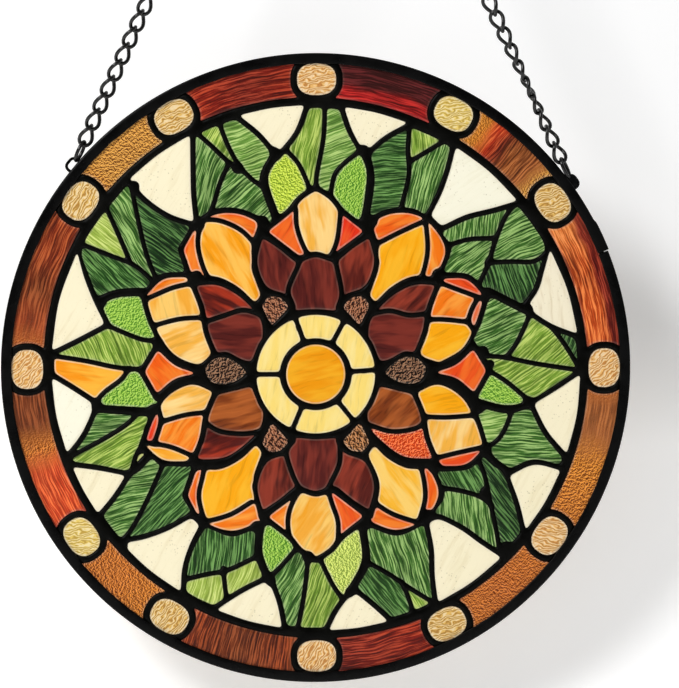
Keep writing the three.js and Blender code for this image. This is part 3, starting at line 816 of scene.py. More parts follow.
def leadNet(loops):
    plan = netPlan
    tree = distanceTree(loops)
    extra = netPoints(loops, tree)
    rim = np.array([polar(plan["outer"], degrees) for degrees in range(360)])
    places, heights, faces = [], [], []
    owners = np.concatenate([[index] * len(loop) for index, loop in enumerate([*loops, rim])])
    for side, points in ((-1, extra), (1, extra[::3])):
        verts, tris = triangulate([*loops, rim], points)
        mark = np.full(len(verts), -1)
        mark[:len(owners)] = owners
        same = ((mark[tris[:, 0]] == mark[tris[:, 1]]) & (mark[tris[:, 1]] == mark[tris[:, 2]])
                & (mark[tris[:, 0]] >= 0))
        keep = np.ones(len(tris), bool)
        middles = verts[tris].mean(axis=1)
        for index, loop in enumerate(loops):
            mine = np.flatnonzero(same & (mark[tris[:, 0]] == index))
            keep[mine] = ~inside(middles[mine], loop)
        tris = tris[keep]
        depth = distances(tree, verts)
        depth[:len(owners) - len(rim)] = 0
        rise = np.sqrt(np.clip(1 - (1 - np.clip(depth / plan["reach"], 0, 1)) ** 2, 0, 1))
        lumps = plan["lump"] * roundedStep((depth - 0.9) / 1.6) + 0.1 * rise * noiseAt(verts, 3.0, 5)
        radius = np.hypot(*verts.T)
        under = roundedStep((radius - plan["edge"] + 1.5) / 1.5)
        height = (plan["bead"] * rise + lumps) * (1 - under) + plan["tucked"] * under * (depth > 0)
        if side > 0:
            tris = tris[:, ::-1]
        faces.append(tris + sum(len(part) for part in places))
        places.append(verts)
        heights.append(side * (plan["base"] + height))
    back = len(places[0])
    first = 0
    for index, loop in enumerate([*loops, rim]):
        ring = np.arange(len(loop)) + first
        after = np.roll(ring, -1)
        if index == len(loops):
            ring, after = after, ring
        faces.append(np.column_stack([ring, after, ring + back]))
        faces.append(np.column_stack([after, after + back, ring + back]))
        first += len(loop)
    return meshObject("lead_lines", np.vstack(places), np.concatenate(heights), np.vstack(faces), 60)


# Materials

def newTree(tree):
    tree.nodes.clear()
    return tree


def addNode(tree, kind, settings=None, **inputs):
    node = tree.nodes.new(kind)
    for key, value in (settings or {}).items():
        setattr(node, key, value)
    for key, value in inputs.items():
        numbered = key[0] == "_" and key[1:].isdigit()
        socket = node.inputs[int(key[1:]) if numbered else key.replace("_", " ")]
        if isinstance(value, bpy.types.NodeSocket):
            tree.links.new(value, socket)
        else:
            socket.default_value = value
    return node


def reckon(tree, operation, first, second=0.0, third=0.0):
    return addNode(tree, "ShaderNodeMath", dict(operation=operation), _0=first, _1=second,
                   _2=third).outputs[0]


def ramped(tree, value, low, high, start=0.0, end=1.0):
    node = addNode(tree, "ShaderNodeMapRange", dict(interpolation_type="SMOOTHSTEP"), Value=value,
                   From_Min=low, From_Max=high, To_Min=start, To_Max=end)
    return node.outputs["Result"]


def mixed(tree, factor, first, second, blend="MIX"):
    node = tree.nodes.new("ShaderNodeMix")
    node.data_type = "RGBA"
    node.blend_type = blend
    for index, value in ((0, factor), (6, first), (7, second)):
        if isinstance(value, bpy.types.NodeSocket):
            tree.links.new(value, node.inputs[index])
        else:
            node.inputs[index].default_value = value
    return node.outputs[2]


def colour(red, green, blue):
    return (*toLinear((red, green, blue)), 1)


def newGroup(name, inputs, outputs):
    tree = bpy.data.node_groups.new(name, "ShaderNodeTree")
    for label, kind, value in inputs:
        socket = tree.interface.new_socket(label, in_out="INPUT", socket_type=kind)
        if value is not None:
            socket.default_value = value
    for label, kind in outputs:
        tree.interface.new_socket(label, in_out="OUTPUT", socket_type=kind)
    return tree, tree.nodes.new("NodeGroupInput").outputs, tree.nodes.new("NodeGroupOutput").inputs


def useGroup(tree, group, **inputs):
    node = tree.nodes.new("ShaderNodeGroup")
    node.node_tree = group
    for key, value in inputs.items():
        socket = node.inputs[key.replace("_", " ")]
        if isinstance(value, bpy.types.NodeSocket):
            tree.links.new(value, socket)
        else:
            socket.default_value = value
    return node.outputs


def streakGroup():
    tree, given, result = newGroup(
        "glass streaks",
        [("Place", "NodeSocketVector", None), ("Across", "NodeSocketFloat", 1.0),
         ("Stretch", "NodeSocketFloat", 12.0),
         ("Waver", "NodeSocketFloat", 1.0), ("Detail", "NodeSocketFloat", 3.0)],
        [("Streak", "NodeSocketFloat")])
    bend = addNode(tree, "ShaderNodeTexNoise", Vector=given["Place"], Scale=0.06, Detail=1.0)
    centred = addNode(tree, "ShaderNodeVectorMath", dict(operation="SUBTRACT"), _0=bend.outputs["Color"],
                      _1=(0.5, 0.5, 0.5))
    waver = addNode(tree, "ShaderNodeVectorMath", dict(operation="SCALE"), _0=centred.outputs[0],
                    Scale=reckon(tree, "MULTIPLY", given["Waver"], 3.0))
    moved = addNode(tree, "ShaderNodeVectorMath", dict(operation="ADD"), _0=given["Place"],
                    _1=waver.outputs[0])
    parts = addNode(tree, "ShaderNodeSeparateXYZ", Vector=moved.outputs[0])
    lengthways = reckon(tree, "DIVIDE", parts.outputs["X"], given["Stretch"])
    stretched = addNode(tree, "ShaderNodeCombineXYZ", X=lengthways, Y=parts.outputs["Y"])
    streak = addNode(tree, "ShaderNodeTexNoise", Vector=stretched.outputs[0], Scale=given["Across"],
                     Detail=given["Detail"], Roughness=0.6)
    tree.links.new(streak.outputs["Fac"], result["Streak"])
    return tree


# Painted highlight: a thin pale line along each pane's edge, where the glass dips under the lead; noise
# breaks it up.
def paintedEdgeGroup():
    tree, given, result = newGroup(
        "painted edge highlight",
        [("Colour", "NodeSocketColor", None), ("Pale", "NodeSocketColor", None),
         ("Strength", "NodeSocketFloat", 0.6),
         ("Width", "NodeSocketFloat", 0.55)],
        [("Colour", "NodeSocketColor"), ("Edge", "NodeSocketFloat")])
    edge = addNode(tree, "ShaderNodeAttribute", dict(attribute_name="edge"))
    near = ramped(tree, edge.outputs["Fac"], given["Width"], reckon(tree, "ADD", given["Width"], 0.35), 1.0,
                  0.0)
    place = addNode(tree, "ShaderNodeTexCoord")
    breaks = addNode(tree, "ShaderNodeTexNoise", Vector=place.outputs["Object"], Scale=160.0, Detail=2.0)
    uneven = ramped(tree, breaks.outputs["Fac"], 0.3, 0.6, 0.45, 1.0)
    amount = reckon(tree, "MULTIPLY", reckon(tree, "MULTIPLY", near, uneven), given["Strength"])
    tree.links.new(mixed(tree, amount, given["Colour"], given["Pale"]), result["Colour"])
    tree.links.new(amount, result["Edge"])
    return tree


# Painted light on the hammered bumps: the noise is the real bump height, and its slope towards one side of
# the pane's grain gives a painted shade and a painted highlight, as if lit from that side.
def bumpShadingGroup():
    tree, given, result = newGroup(
        "hammered bump shading",
        [("Place", "NodeSocketVector", None), ("Size", "NodeSocketFloat", 1.2),
         ("Contrast", "NodeSocketFloat", 1.0)],
        [("Painted Shade", "NodeSocketFloat"), ("Bright", "NodeSocketFloat"), ("Height", "NodeSocketFloat")])
    scale = reckon(tree, "DIVIDE", 1.0, given["Size"])
    lit = addNode(tree, "ShaderNodeVectorMath", dict(operation="ADD"), _0=given["Place"],
                  _1=(0.28, -0.28, 0.0))
    heights = [addNode(tree, "ShaderNodeTexNoise", Vector=place, Scale=scale, Detail=1.5,
                       Distortion=0.8).outputs["Fac"]
               for place in (given["Place"], lit.outputs[0])]
    slope = reckon(tree, "MULTIPLY", reckon(tree, "SUBTRACT", heights[0], heights[1]), given["Contrast"])
    tree.links.new(ramped(tree, slope, -0.01, -0.08), result["Painted Shade"])
    tree.links.new(ramped(tree, slope, 0.02, 0.09), result["Bright"])
    tree.links.new(heights[0], result["Height"])
    return tree


def grainPlace(tree):
    grain = addNode(tree, "ShaderNodeUVMap", dict(uv_map="grain"))
    return addNode(tree, "ShaderNodeVectorMath", dict(operation="SCALE"), _0=grain.outputs["UV"],
                   Scale=100.0).outputs[0]


def glassColours(tree):
    tint = addNode(tree, "ShaderNodeAttribute", dict(attribute_name="tint")).outputs["Color"]
    streak = addNode(tree, "ShaderNodeAttribute", dict(attribute_name="streak")).outputs["Color"]
    return tint, streak


def finishMaterial(tree, base, height, roughness, bump, coat=0.0, specular=0.12, metallic=0.0, depth=0.0003):
    shader = addNode(tree, "ShaderNodeBsdfPrincipled", Base_Color=base, Metallic=metallic)
    shader.inputs["Specular IOR Level"].default_value = specular
    shader.inputs["Coat Weight"].default_value = coat
    shader.inputs["Coat Roughness"].default_value = 0.12
    if isinstance(roughness, bpy.types.NodeSocket):
        tree.links.new(roughness, shader.inputs["Roughness"])
    else:
        shader.inputs["Roughness"].default_value = roughness
    if height is not None:
        bumped = addNode(tree, "ShaderNodeBump", Strength=bump, Distance=depth, Height=height)
        tree.links.new(bumped.outputs["Normal"], shader.inputs["Normal"])
    output = addNode(tree, "ShaderNodeOutputMaterial")
    tree.links.new(shader.outputs["BSDF"], output.inputs["Surface"])
    return shader


def newMaterial(name):
    material = bpy.data.materials.new(name)
    material.use_nodes = True
    return material, newTree(material.node_tree)


groups = dict(streaks=streakGroup(), edge=paintedEdgeGroup(), bumpShading=bumpShadingGroup())


def streaks(tree, place, across, stretch, waver, detail):
    return useGroup(tree, groups["streaks"], Place=place, Across=across, Stretch=stretch, Waver=waver,
                    Detail=detail)["Streak"]


def lightness(tree, tint):
    return addNode(tree, "ShaderNodeRGBToBW", Color=tint).outputs[0]


def brighter(tree, tint, amount):
    return addNode(tree, "ShaderNodeHueSaturation", Color=tint, Value=amount).outputs[0]


# Puts the painted edge highlight on a glass colour, fainter on dark glass.
def paintedEdgeHighlight(tree, base, strength):
    pale = mixed(tree, 0.7, base, colour(255, 246, 222))
    shown = ramped(tree, lightness(tree, base), 0.03, 0.4, strength * 0.12, strength)
    return useGroup(tree, groups["edge"], Colour=base, Pale=pale, Strength=shown)


def streakPattern(tree, place, tint, light, deepest):
    broad = streaks(tree, place, across=0.16, stretch=5.0, waver=1.0, detail=2.0)
    fine = streaks(tree, place, across=1.2, stretch=20.0, waver=1.3, detail=4.0)
    depth = ramped(tree, lightness(tree, tint), 0.04, 0.5, 0.8, 0.34)
    dark = mixed(tree, ramped(tree, broad, 0.34, 0.6, 0.4, 1.0), mixed(tree, depth, tint, deepest), tint)
    strength = reckon(tree, "MULTIPLY", ramped(tree, fine, 0.48, 0.58),
                     ramped(tree, broad, 0.3, 0.6, 0.5, 1.0))
    strokes = mixed(tree, strength, dark, brighter(tree, light, 1.12))
    shadows = ramped(tree, fine, 0.47, 0.38, 0.0, 0.85)
    return mixed(tree, shadows, strokes, mixed(tree, depth, dark, deepest)), fine


# Hammered glass colour: soft clouds of the second tone, painted shade towards the second tone in the pits,
# and a painted highlight, brightened and paled, on the lit side of the bumps.
def hammerPattern(tree, place, tint, light, size, contrast, highlightLift, shine, shineTint):
    bumpShading = useGroup(tree, groups["bumpShading"], Place=place, Size=size, Contrast=contrast)
    clouds = addNode(tree, "ShaderNodeTexNoise", Vector=place, Scale=0.09, Detail=2.0).outputs["Fac"]
    mellow = mixed(tree, ramped(tree, clouds, 0.35, 0.65, 0.0, 0.35), tint, light)
    pitShade = mixed(tree, reckon(tree, "MULTIPLY", bumpShading["Painted Shade"], 0.95), mellow, light)
    bumpHighlight = mixed(tree, shine, brighter(tree, tint, highlightLift), colour(*shineTint))
    return mixed(tree, reckon(tree, "MULTIPLY", bumpShading["Bright"], 0.85), pitShade, bumpHighlight), bumpShading["Height"]


def streakyGlass():
    material, tree = newMaterial("streaky glass")
    base, fine = streakPattern(tree, grainPlace(tree), *glassColours(tree), colour(8, 14, 6))
    edged = paintedEdgeHighlight(tree, base, 0.2)
    finishMaterial(tree, edged["Colour"], fine, 0.34, 0.5, 0.1)
    return material


def barGlass():
    material, tree = newMaterial("border glass")
    place = grainPlace(tree)
    tint, light = glassColours(tree)
    hammered, bumps = hammerPattern(tree, place, tint, light, size=1.0, contrast=1.6, highlightLift=1.5,
                                    shine=0.12, shineTint=(255, 220, 150))
    streaked, fine = streakPattern(tree, place, tint, light, colour(40, 10, 6))
    texture = addNode(tree, "ShaderNodeAttribute", dict(attribute_name="texture")).outputs["Fac"]
    edged = paintedEdgeHighlight(tree, mixed(tree, texture, streaked, hammered), 0.25)
    height = reckon(tree, "MULTIPLY_ADD", reckon(tree, "SUBTRACT", bumps, fine), texture, fine)
    finishMaterial(tree, edged["Colour"], height, 0.32, 0.6, 0.1)
    return material


def smoothGlass():
    material, tree = newMaterial("opal glass")
    place = grainPlace(tree)
    tint, light = glassColours(tree)
    broad = streaks(tree, place, across=0.17, stretch=4.5, waver=1.0, detail=2.0)
    wisps = streaks(tree, place, across=0.5, stretch=9.0, waver=1.5, detail=2.5)
    depth = ramped(tree, lightness(tree, tint), 0.04, 0.4, 0.6, 0.85)
    deep = mixed(tree, ramped(tree, wisps, 0.48, 0.36), tint, brighter(tree, tint, depth))
    factor = reckon(tree, "ADD", ramped(tree, broad, 0.4, 0.62, 0.0, 0.85),
                    ramped(tree, wisps, 0.54, 0.7, 0.0, 0.35))
    base = mixed(tree, factor, deep, light)
    edged = paintedEdgeHighlight(tree, base, 0.6)
    finishMaterial(tree, edged["Colour"], wisps, 0.3, 0.15, 0.1)
    return material


def seedyGlass():
    material, tree = newMaterial("seedy glass")
    place = grainPlace(tree)
    tint, light = glassColours(tree)
    broad = streaks(tree, place, across=0.3, stretch=9.0, waver=1.2, detail=3.0)
    seeds = addNode(tree, "ShaderNodeTexVoronoi", Vector=place, Scale=0.62, Randomness=1.0)
    dots = ramped(tree, seeds.outputs["Distance"], 0.12, 0.24, 1.0, 0.0)
    thick = addNode(tree, "ShaderNodeTexNoise", Vector=place, Scale=0.05, Detail=1.0).outputs["Fac"]
    dots = reckon(tree, "MULTIPLY", dots, ramped(tree, thick, 0.42, 0.6, 0.1, 1.0))
    base = mixed(tree, ramped(tree, broad, 0.48, 0.75, 0.0, 0.6), tint, light)
    base = mixed(tree, reckon(tree, "MULTIPLY", dots, 0.42), base, colour(150, 136, 90))
    edged = paintedEdgeHighlight(tree, base, 0.8)
    finishMaterial(tree, edged["Colour"], dots, 0.38, 0.3, 0.1)
    return material


def hammeredGlass():
    material, tree = newMaterial("hammered glass")
    base, height = hammerPattern(tree, grainPlace(tree), *glassColours(tree), size=1.15,
                                 contrast=1.7, highlightLift=1.35, shine=0.2, shineTint=(250, 252, 170))
    edged = paintedEdgeHighlight(tree, base, 0.4)
    finishMaterial(tree, edged["Colour"], height, 0.26, 0.7, 0.12)
    return material


def nuggetGlass():
    material, tree = newMaterial("nugget glass")
    base, height = hammerPattern(tree, grainPlace(tree), *glassColours(tree), size=1.5,
                                 contrast=2.6, highlightLift=2.0, shine=0.35, shineTint=(255, 196, 150))
    edged = paintedEdgeHighlight(tree, base, 0.3)
    finishMaterial(tree, edged["Colour"], height, 0.24, 0.8, 0.12)
    return material


def rippleGlass():
    material, tree = newMaterial("rippled glass")
    place = grainPlace(tree)
    tint, light = glassColours(tree)
    folds = streaks(tree, place, across=0.3, stretch=1.6, waver=1.5, detail=1.5)
    parts = addNode(tree, "ShaderNodeSeparateXYZ", Vector=place)
    phase = reckon(tree, "ADD", reckon(tree, "MULTIPLY", folds, 26.0),
                   reckon(tree, "MULTIPLY", parts.outputs["Y"], 4.4))
    wave = reckon(tree, "SINE", phase)
    # The colour follows the ripple height, as painted light and shade: towards the second tone on the crests
    # and a pale painted highlight in the hollows.
    base = mixed(tree, ramped(tree, wave, 0.2, 1.0, 0.0, 0.75), tint, light)
    base = mixed(tree, ramped(tree, wave, -1.0, -0.2, 0.6, 0.0), base,
                 mixed(tree, 0.65, tint, colour(255, 250, 226)))
    edged = paintedEdgeHighlight(tree, base, 0.6)
    finishMaterial(tree, edged["Colour"], wave, 0.26, 0.5, 0.12)
    return material


def blackMetal(name, tint, roughness, lump, specular):
    material, tree = newMaterial(name)
    place = addNode(tree, "ShaderNodeTexCoord").outputs["Object"]
    broad = addNode(tree, "ShaderNodeTexNoise", Vector=place, Scale=90.0, Detail=3.0).outputs["Fac"]
    fine = addNode(tree, "ShaderNodeTexNoise", Vector=place, Scale=900.0, Detail=3.0).outputs["Fac"]
    base = mixed(tree, ramped(tree, broad, 0.35, 0.7), colour(*tint),
                 colour(*[part * 1.9 + 3 for part in tint]))
    height = reckon(tree, "ADD", reckon(tree, "MULTIPLY", broad, lump), reckon(tree, "MULTIPLY", fine, 0.25))
    rough = ramped(tree, broad, 0.3, 0.7, roughness - 0.08, roughness + 0.1)
    finishMaterial(tree, base, height, rough, 0.5, 0.0, specular)
    return material


glassMaterials = dict(
    streaky=streakyGlass(), smooth=smoothGlass(), seedy=seedyGlass(), hammered=hammeredGlass(),
    bar=barGlass(), ripple=rippleGlass(), nugget=nuggetGlass())
leadMaterial = blackMetal("dark lead", (2, 2, 1), 0.36, 1.0, 0.06)
rimMaterial = blackMetal("black metal", (1, 1, 1), 0.3, 0.6, 0.1)
chainMaterial = blackMetal("black chain", (3, 3, 3), 0.2, 0.4, 0.45)
print("materials made")


for nodeName, panes in openings.items():
    glassPiece(nodeName, panes, glassMaterials)
print("glass made")

net = leadNet([pane["loop"] for panes in openings.values() for pane in panes])
net.data.materials.append(leadMaterial)
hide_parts("lead_net")
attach(net, "root")
print("lead net made:", len(net.data.polygons), "triangles")


# Rim, hanging ring and chains

rimPlan = dict(
    lip=5.0, thickness=1.0, web=1.6, outerRound=0.9, innerRound=0.45,
    joint=22.0, jointGap=0.24, proud=0.6, proudEnd=27.8, wave=0.3)


def arc(x, y, radius, start, end, count=5):
    return [(x + radius * math.cos(angle), y + radius * math.sin(angle))
            for angle in np.radians(np.linspace(start, end, count))]


def rimSection():
    plan = rimPlan
    outer, inner = panelRadius, panelRadius - plan["lip"]
    web, lip = panelRadius - plan["web"], rimHalf - plan["thickness"]
    large, small = plan["outerRound"], plan["innerRound"]
    return [
        *arc(inner + small, -rimHalf + small, small, 180, 270),
        *arc(outer - large, -rimHalf + large, large, 270, 360),
        *arc(outer - large, rimHalf - large, large, 0, 90),
        *arc(inner + small, rimHalf - small, small, 90, 180),
        (inner, lip), (web, lip), (web, -lip), (inner, -lip)]


def sweep(name, rings, closed=False, sharp=35):
    count, sides = len(rings), len(rings[0])
    verts = [point for ring in rings for point in ring]
    faces = []
    for i in range(count if closed else count - 1):
        near, far = i * sides, ((i + 1) % count) * sides
        faces.extend((near + j, near + (j + 1) % sides, far + (j + 1) % sides, far + j) for j in range(sides))
    if not closed:
        faces.append(tuple(range(sides)))
        faces.append(tuple(range((count - 1) * sides, count * sides)))
    mesh = bmesh.new()
    made = [mesh.verts.new(point) for point in verts]
    for face in faces:
        mesh.faces.new([made[index] for index in face])
    bmesh.ops.recalc_face_normals(mesh, faces=mesh.faces)
    data = bpy.data.meshes.new(name)
    mesh.to_mesh(data)
    mesh.free()
    data.polygons.foreach_set("use_smooth", [True] * len(data.polygons))
    data.set_sharp_from_angle(angle=math.radians(sharp))
    piece = bpy.data.objects.new(name, data)
    bpy.context.scene.collection.objects.link(piece)
    return piece


def onPanel(radius, degrees, depth):
    x, z = polar(radius, degrees)
    return Vector((x * mm, depth * mm, z * mm + centreZ))


def makeRim():
    plan = rimPlan
    section = rimSection()
    start = plan["joint"] + plan["jointGap"] / 2
    angles = np.concatenate([np.arange(start, start + 359.5, 1.0), [start + 360 - plan["jointGap"]]])
    angles = np.sort(np.append(angles, plan["proudEnd"] + np.array([-0.2, 0.2])))
    rings = []
    for degrees in angles:
        proud = plan["proud"] * (1 - roundedStep((degrees - plan["proudEnd"] + 0.5) / 1.0))
        wave = plan["wave"] * noise.noise((degrees / 2.3, 3.1, 0.0))
        shifts = [proud if radius > panelRadius - 2 else (wave if radius < panelRadius - 4 else 0)
                  for radius, _ in section]
        rings.append([onPanel(radius + shift, degrees, depth)
                      for (radius, depth), shift in zip(section, shifts)])
    return sweep("rim_frame", rings)


def wireRings(path, radius, sides, closed):
    path = [Vector(point) for point in path]
    count = len(path)
    rings = []
    for index, point in enumerate(path):
        before = path[index - 1] if closed or index else point
        after = path[(index + 1) % count] if closed or index + 1 < count else point
        along = (after - before).normalized()
        side = along.cross(Vector((0, 1, 0))).normalized()
        rings.append([point + radius * (math.cos(turn) * side + math.sin(turn) * Vector((0, 1, 0)))
                      for turn in np.linspace(0, 2 * math.pi, sides, endpoint=False)])
    return rings


eyeletPlan = dict(wire=1.45, rise=3.3, span=6.4, bend=2.2, angles=(140, 36))


def makeEyelet(degrees):
    plan = eyeletPlan
    half, top, bend = plan["span"] / 2, panelRadius + plan["rise"], plan["bend"]
    outline = [(panelRadius - 0.8, -half), (top - bend, -half)]
    outline += arc(top - bend, -half + bend, bend, 270, 360)
    outline += arc(top - bend, half - bend, bend, 0, 90)
    outline += [(top - bend, half), (panelRadius - 0.8, half)]
    outward, sideways = polar(1, degrees), polar(1, degrees + 90)
    points = withoutShortEdges(np.array(outline), 0.1)
    places = [outward * radius + sideways * shift for radius, shift in points]
    path = [(x * mm, 0, z * mm + centreZ) for x, z in places]
    return sweep(f"eyelet_{degrees}", wireRings(path, plan["wire"] / 2 * mm, 10, False))


def makeSolderLump(degrees, long, high, deep):
    rings = []
    for t in np.linspace(-1, 1, 13):
        bulge = math.sqrt(max(0, 1 - t * t)) + 0.04
        rings.append([onPanel(panelRadius - 0.6 + bulge * (high + 0.6) * max(0, math.sin(turn)),
                              degrees + t * long / 2 / 2.62,
                              bulge * deep / 2 * math.cos(turn))
                      for turn in np.linspace(0, 2 * math.pi, 16, endpoint=False)])
    return sweep("solder_lump", rings, sharp=80)


ringLow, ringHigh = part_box("hanging_ring")
ringWire = (ringHigh[1] - ringLow[1]) / mm
ringMiddle = (ringLow[2] + ringHigh[2]) / 2
ringRadius = (ringHigh[0] - ringLow[0]) / 2 / mm - ringWire / 2


def makeHangingRing():
    path = [(ringRadius * mm * math.cos(turn), 0, ringMiddle + ringRadius * mm * math.sin(turn))
            for turn in np.linspace(0, 2 * math.pi, 72, endpoint=False)]
    return sweep("ring", wireRings(path, ringWire / 2 * mm, 16, True), closed=True)


chainPlan = dict(
    pitch=8.5, width=7.0, wire=1.85, twist=45, connector=11.6, connectorWidth=7.2, connectorRoll=68,
    spread=16,
    legs=dict(left=dict(eyelet=140, roll=42, turn=0), right=dict(eyelet=36, roll=45, turn=90)), turnOver=0.3)


def chainTree():
    tree = bpy.data.node_groups.new("curb chain", "GeometryNodeTree")
    sockets = [("From", "NodeSocketVector"), ("To", "NodeSocketVector"), ("Count", "NodeSocketInt"),
               ("Link Length", "NodeSocketFloat"), ("Link Width", "NodeSocketFloat"),
               ("Wire", "NodeSocketFloat"),
               ("Twist", "NodeSocketFloat"), ("Roll", "NodeSocketFloat"), ("Turn", "NodeSocketFloat"),
               ("Turned Over", "NodeSocketFloat"), ("Material", "NodeSocketMaterial")]
    for label, kind in sockets:
        tree.interface.new_socket(label, in_out="INPUT", socket_type=kind)
    tree.interface.new_socket("Geometry", in_out="OUTPUT", socket_type="NodeSocketGeometry")
    given = tree.nodes.new("NodeGroupInput").outputs
    result = tree.nodes.new("NodeGroupOutput").inputs

    circle = addNode(tree, "GeometryNodeCurvePrimitiveCircle", Resolution=26, Radius=1.0)
    parts = addNode(tree, "ShaderNodeSeparateXYZ",
                    Vector=addNode(tree, "GeometryNodeInputPosition").outputs[0])
    lengthways, sideways = parts.outputs["X"], parts.outputs["Y"]
    turned = reckon(tree, "MULTIPLY", lengthways, given["Twist"])
    half = reckon(tree, "MULTIPLY", given["Link Width"], 0.5)
    across = reckon(tree, "MULTIPLY", sideways, half)
    bent = addNode(
        tree, "ShaderNodeCombineXYZ",
        X=reckon(tree, "MULTIPLY", lengthways, reckon(tree, "MULTIPLY", given["Link Length"], 0.5)),
        Y=reckon(tree, "MULTIPLY", across, reckon(tree, "COSINE", turned)),
        Z=reckon(tree, "MULTIPLY", across, reckon(tree, "SINE", turned)))
    loop = addNode(tree, "GeometryNodeSetPosition", Geometry=circle.outputs["Curve"],
                   Position=bent.outputs[0])
    profile = addNode(tree, "GeometryNodeCurvePrimitiveCircle", Resolution=8)
    tree.links.new(reckon(tree, "MULTIPLY", given["Wire"], 0.5), profile.inputs["Radius"])
    link = addNode(tree, "GeometryNodeCurveToMesh", Curve=loop.outputs["Geometry"],
                   Profile_Curve=profile.outputs["Curve"])

    line = addNode(tree, "GeometryNodeMeshLine", dict(mode="END_POINTS"), Count=given["Count"])
    tree.links.new(given["From"], line.inputs["Start Location"])
    tree.links.new(given["To"], line.inputs["Offset"])
    direction = addNode(tree, "ShaderNodeVectorMath", dict(operation="SUBTRACT"), _0=given["To"],
                        _1=given["From"])
    facing = addNode(tree, "FunctionNodeAxesToRotation", dict(primary_axis="X", secondary_axis="Z"),
                     Primary_Axis=direction.outputs[0], Secondary_Axis=(0, 1, 0))
    index = addNode(tree, "GeometryNodeInputIndex").outputs[0]
    share = reckon(tree, "DIVIDE", reckon(tree, "ADD", index, 0.5), given["Count"])
    turned = ramped(tree, share, 0.0, given["Turned Over"])
    roll = reckon(tree, "MULTIPLY_ADD", turned, given["Turn"], given["Roll"])
    spin = addNode(tree, "FunctionNodeAxisAngleToRotation", Axis=(1, 0, 0), Angle=roll)
    rotation = addNode(tree, "FunctionNodeRotateRotation", dict(rotation_space="LOCAL"),
                       Rotation=facing.outputs[0], Rotate_By=spin.outputs[0])
    placed = addNode(tree, "GeometryNodeInstanceOnPoints", Points=line.outputs["Mesh"],
                     Instance=link.outputs["Mesh"],
                     Rotation=rotation.outputs[0])
    real = addNode(tree, "GeometryNodeRealizeInstances", Geometry=placed.outputs["Instances"])
    smooth = addNode(tree, "GeometryNodeSetShadeSmooth", Geometry=real.outputs["Geometry"])
    finished = addNode(tree, "GeometryNodeSetMaterial", Geometry=smooth.outputs["Geometry"],
                       Material=given["Material"])
    tree.links.new(finished.outputs["Geometry"], result["Geometry"])
    return tree


def builtBy(tree, name, values):
    holder = bpy.data.objects.new(name + " maker", bpy.data.meshes.new(name))
    bpy.context.scene.collection.objects.link(holder)
    modifier = holder.modifiers.new("chain", "NODES")
    modifier.node_group = tree
    for socket in tree.interface.items_tree:
        if socket.in_out == "INPUT" and socket.name in values:
            modifier[socket.identifier] = values[socket.name]
    graph = bpy.context.evaluated_depsgraph_get()
    mesh = bpy.data.meshes.new_from_object(holder.evaluated_get(graph))
    mesh.materials.clear()
    mesh.materials.append(values["Material"])
    mesh.polygons.foreach_set("material_index", [0] * len(mesh.polygons))
    bpy.data.objects.remove(holder)
    mesh.name = name
    piece = bpy.data.objects.new(name, mesh)
    bpy.context.scene.collection.objects.link(piece)
    return piece


def makeChain(side, tree, material):
    plan, leg = chainPlan, chainPlan["legs"][side]
    degrees = leg["eyelet"]
    uphill = degrees + (90 if degrees < 90 else -90)
    hold = polar(panelRadius + (eyeletPlan["rise"] - eyeletPlan["wire"] / 2) / 2, degrees)
    hold = hold + polar(eyeletPlan["span"] / 2, uphill)
    start = Vector((hold[0] * mm, 0, hold[1] * mm + centreZ))
    lean = -90 + math.copysign(plan["spread"], hold[0])
    slot = polar(ringRadius, lean) * mm
    end = Vector((slot[0], 0, ringMiddle + slot[1]))
    direction = (end - start).normalized()
    reach = plan["wire"] / 2 * mm
    begin = start - direction * (eyeletPlan["wire"] / 2 * mm + reach)
    finish = end + direction * (ringWire / 2 * mm + reach)
    connector = plan["connector"] * mm
    shared = dict(Material=material, Wire=plan["wire"] * mm)
    flat = dict(shared, Count=1, Twist=0.0, Roll=math.radians(plan["connectorRoll"]), Turn=0.0)
    flat["Link Length"] = connector - 2 * reach
    flat["Link Width"] = plan["connectorWidth"] * mm - 2 * reach
    ends = []
    for place in (begin + direction * connector / 2, finish - direction * connector / 2):
        ends.append(builtBy(tree, f"chain_{side}_end", dict(flat, From=place, To=place + direction * mm)))
    first = begin + direction * (connector - 2 * reach)
    last = finish - direction * (connector - 2 * reach)
    count = round((last - first).length / (plan["pitch"] * mm))
    pitch = (last - first).length / count
    curb = dict(shared, Count=count, Twist=math.radians(plan["twist"]), Roll=math.radians(leg["roll"]),
                Turn=math.radians(leg["turn"]))
    curb["Link Length"] = pitch + 2 * reach
    curb["Link Width"] = plan["width"] * mm
    curb["Turned Over"] = plan["turnOver"]
    curb["From"] = first + direction * pitch / 2
    curb["To"] = last - direction * pitch / 2
    links = builtBy(tree, f"curb_chain_{side}", curb)
    return joined(links, ends)


def joined(main, others):
    mesh = bmesh.new()
    for piece in (main, *others):
        mesh.from_mesh(piece.data)
    mesh.to_mesh(main.data)
    mesh.free()
    for piece in others:
        bpy.data.objects.remove(piece)
    main.data.polygons.foreach_set("use_smooth", [True] * len(main.data.polygons))
    return main


def finishMetal(piece, slotName, *nodeNames):
    if not piece.data.materials:
        piece.data.materials.append(rimMaterial)
    if nodeNames:
        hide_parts(*nodeNames)
    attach(piece, "root")


rimPiece = makeRim()
finishMetal(joined(rimPiece, [makeEyelet(degrees) for degrees in eyeletPlan["angles"]]), "black_metal", "rim")
finishMetal(makeSolderLump(36, 6.2, 3.1, 3.4), "black_metal")
finishMetal(makeHangingRing(), "black_metal", "hanging_ring")
curbTree = chainTree()
for side in chainPlan["legs"]:
    finishMetal(makeChain(side, curbTree, chainMaterial), "black_metal", f"chain_{side}")
print("rim, ring and chains made")


# Camera and light

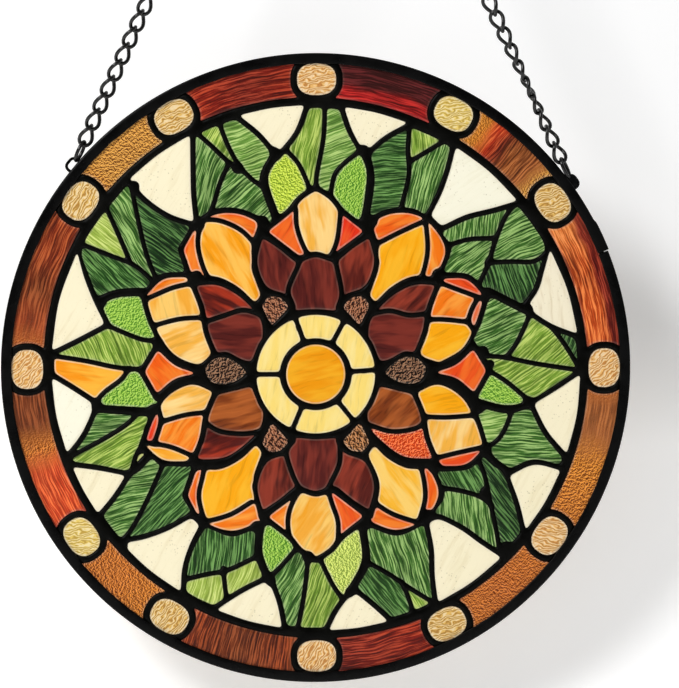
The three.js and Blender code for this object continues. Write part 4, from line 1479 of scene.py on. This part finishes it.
viewPlan = dict(turn=-3, rise=3, distance=2.2, height=0.3278, across=0.0110, up=0.0116)


def makeCamera():
    plan = viewPlan
    camera = bpy.data.objects.new("camera", bpy.data.cameras.new("camera"))
    bpy.context.scene.collection.objects.link(camera)
    turn, rise = math.radians(plan["turn"]), math.radians(plan["rise"])
    back = Vector((math.sin(turn) * math.cos(rise), -math.cos(turn) * math.cos(rise), math.sin(rise)))
    camera.location = Vector((plan["across"], 0, centreZ + plan["up"])) + back * plan["distance"]
    camera.rotation_euler = (-back).to_track_quat("-Z", "Y").to_euler()
    camera.data.sensor_width = 36
    camera.data.lens = 36 * plan["distance"] / plan["height"]
    camera.data.clip_end = 20
    bpy.context.scene.camera = camera


def makeLight(name, place, aim, size, power, tint=(1, 1, 1)):
    light = bpy.data.objects.new(name, bpy.data.lights.new(name, "AREA"))
    light.data.size = size
    light.data.energy = power
    light.data.color = tint
    light.location = place
    light.rotation_euler = (Vector(aim) - Vector(place)).to_track_quat("-Z", "Y").to_euler()
    bpy.context.scene.collection.objects.link(light)


def makeStage():
    wall, floor, bend, reach = 0.085, -0.75, 0.4, 4.0
    profile = [(wall, 3.0), (wall, floor + bend)]
    profile += [(wall - bend + bend * math.cos(angle), floor + bend - bend * math.sin(angle))
                for angle in np.linspace(0, math.pi / 2, 12)]
    profile.append((-5.0, floor))
    verts = [(side, y, z) for side in (-reach, reach) for y, z in profile]
    count = len(profile)
    faces = [(i, i + 1, i + 1 + count, i + count) for i in range(count - 1)]
    mesh = bpy.data.meshes.new("backdrop")
    mesh.from_pydata(verts, [], faces)
    mesh.polygons.foreach_set("use_smooth", [True] * len(mesh.polygons))
    backdrop = bpy.data.objects.new("backdrop", mesh)
    bpy.context.scene.collection.objects.link(backdrop)
    material, tree = newMaterial("backdrop")
    shader = finishMaterial(tree, (0.94, 0.94, 0.94, 1), None, 0.9, 0, 0, 0.1)
    shader.inputs["Emission Color"].default_value = (1, 1, 1, 1)
    shader.inputs["Emission Strength"].default_value = 0.3
    # the sweep is clear from behind, so that the back of the panel can be seen too
    output = shader.outputs[0].links[0].to_node
    behind = addNode(tree, "ShaderNodeNewGeometry").outputs["Backfacing"]
    clear = addNode(tree, "ShaderNodeBsdfTransparent").outputs[0]
    shown = addNode(tree, "ShaderNodeMixShader", _0=behind, _1=shader.outputs[0], _2=clear)
    tree.links.new(shown.outputs[0], output.inputs["Surface"])
    mesh.materials.append(material)
    aim = (0, 0, centreZ)
    makeLight("key", (-1.1, -1.5, centreZ + 1.2), aim, 0.7, 29.5)
    world = bpy.data.worlds.new("studio")
    bpy.context.scene.world = world
    world.use_nodes = True
    world.node_tree.nodes["Background"].inputs["Color"].default_value = (1, 1, 1, 1)
    world.node_tree.nodes["Background"].inputs["Strength"].default_value = 0.24


makeCamera()
makeStage()
bpy.context.scene.view_settings.view_transform = "Standard"
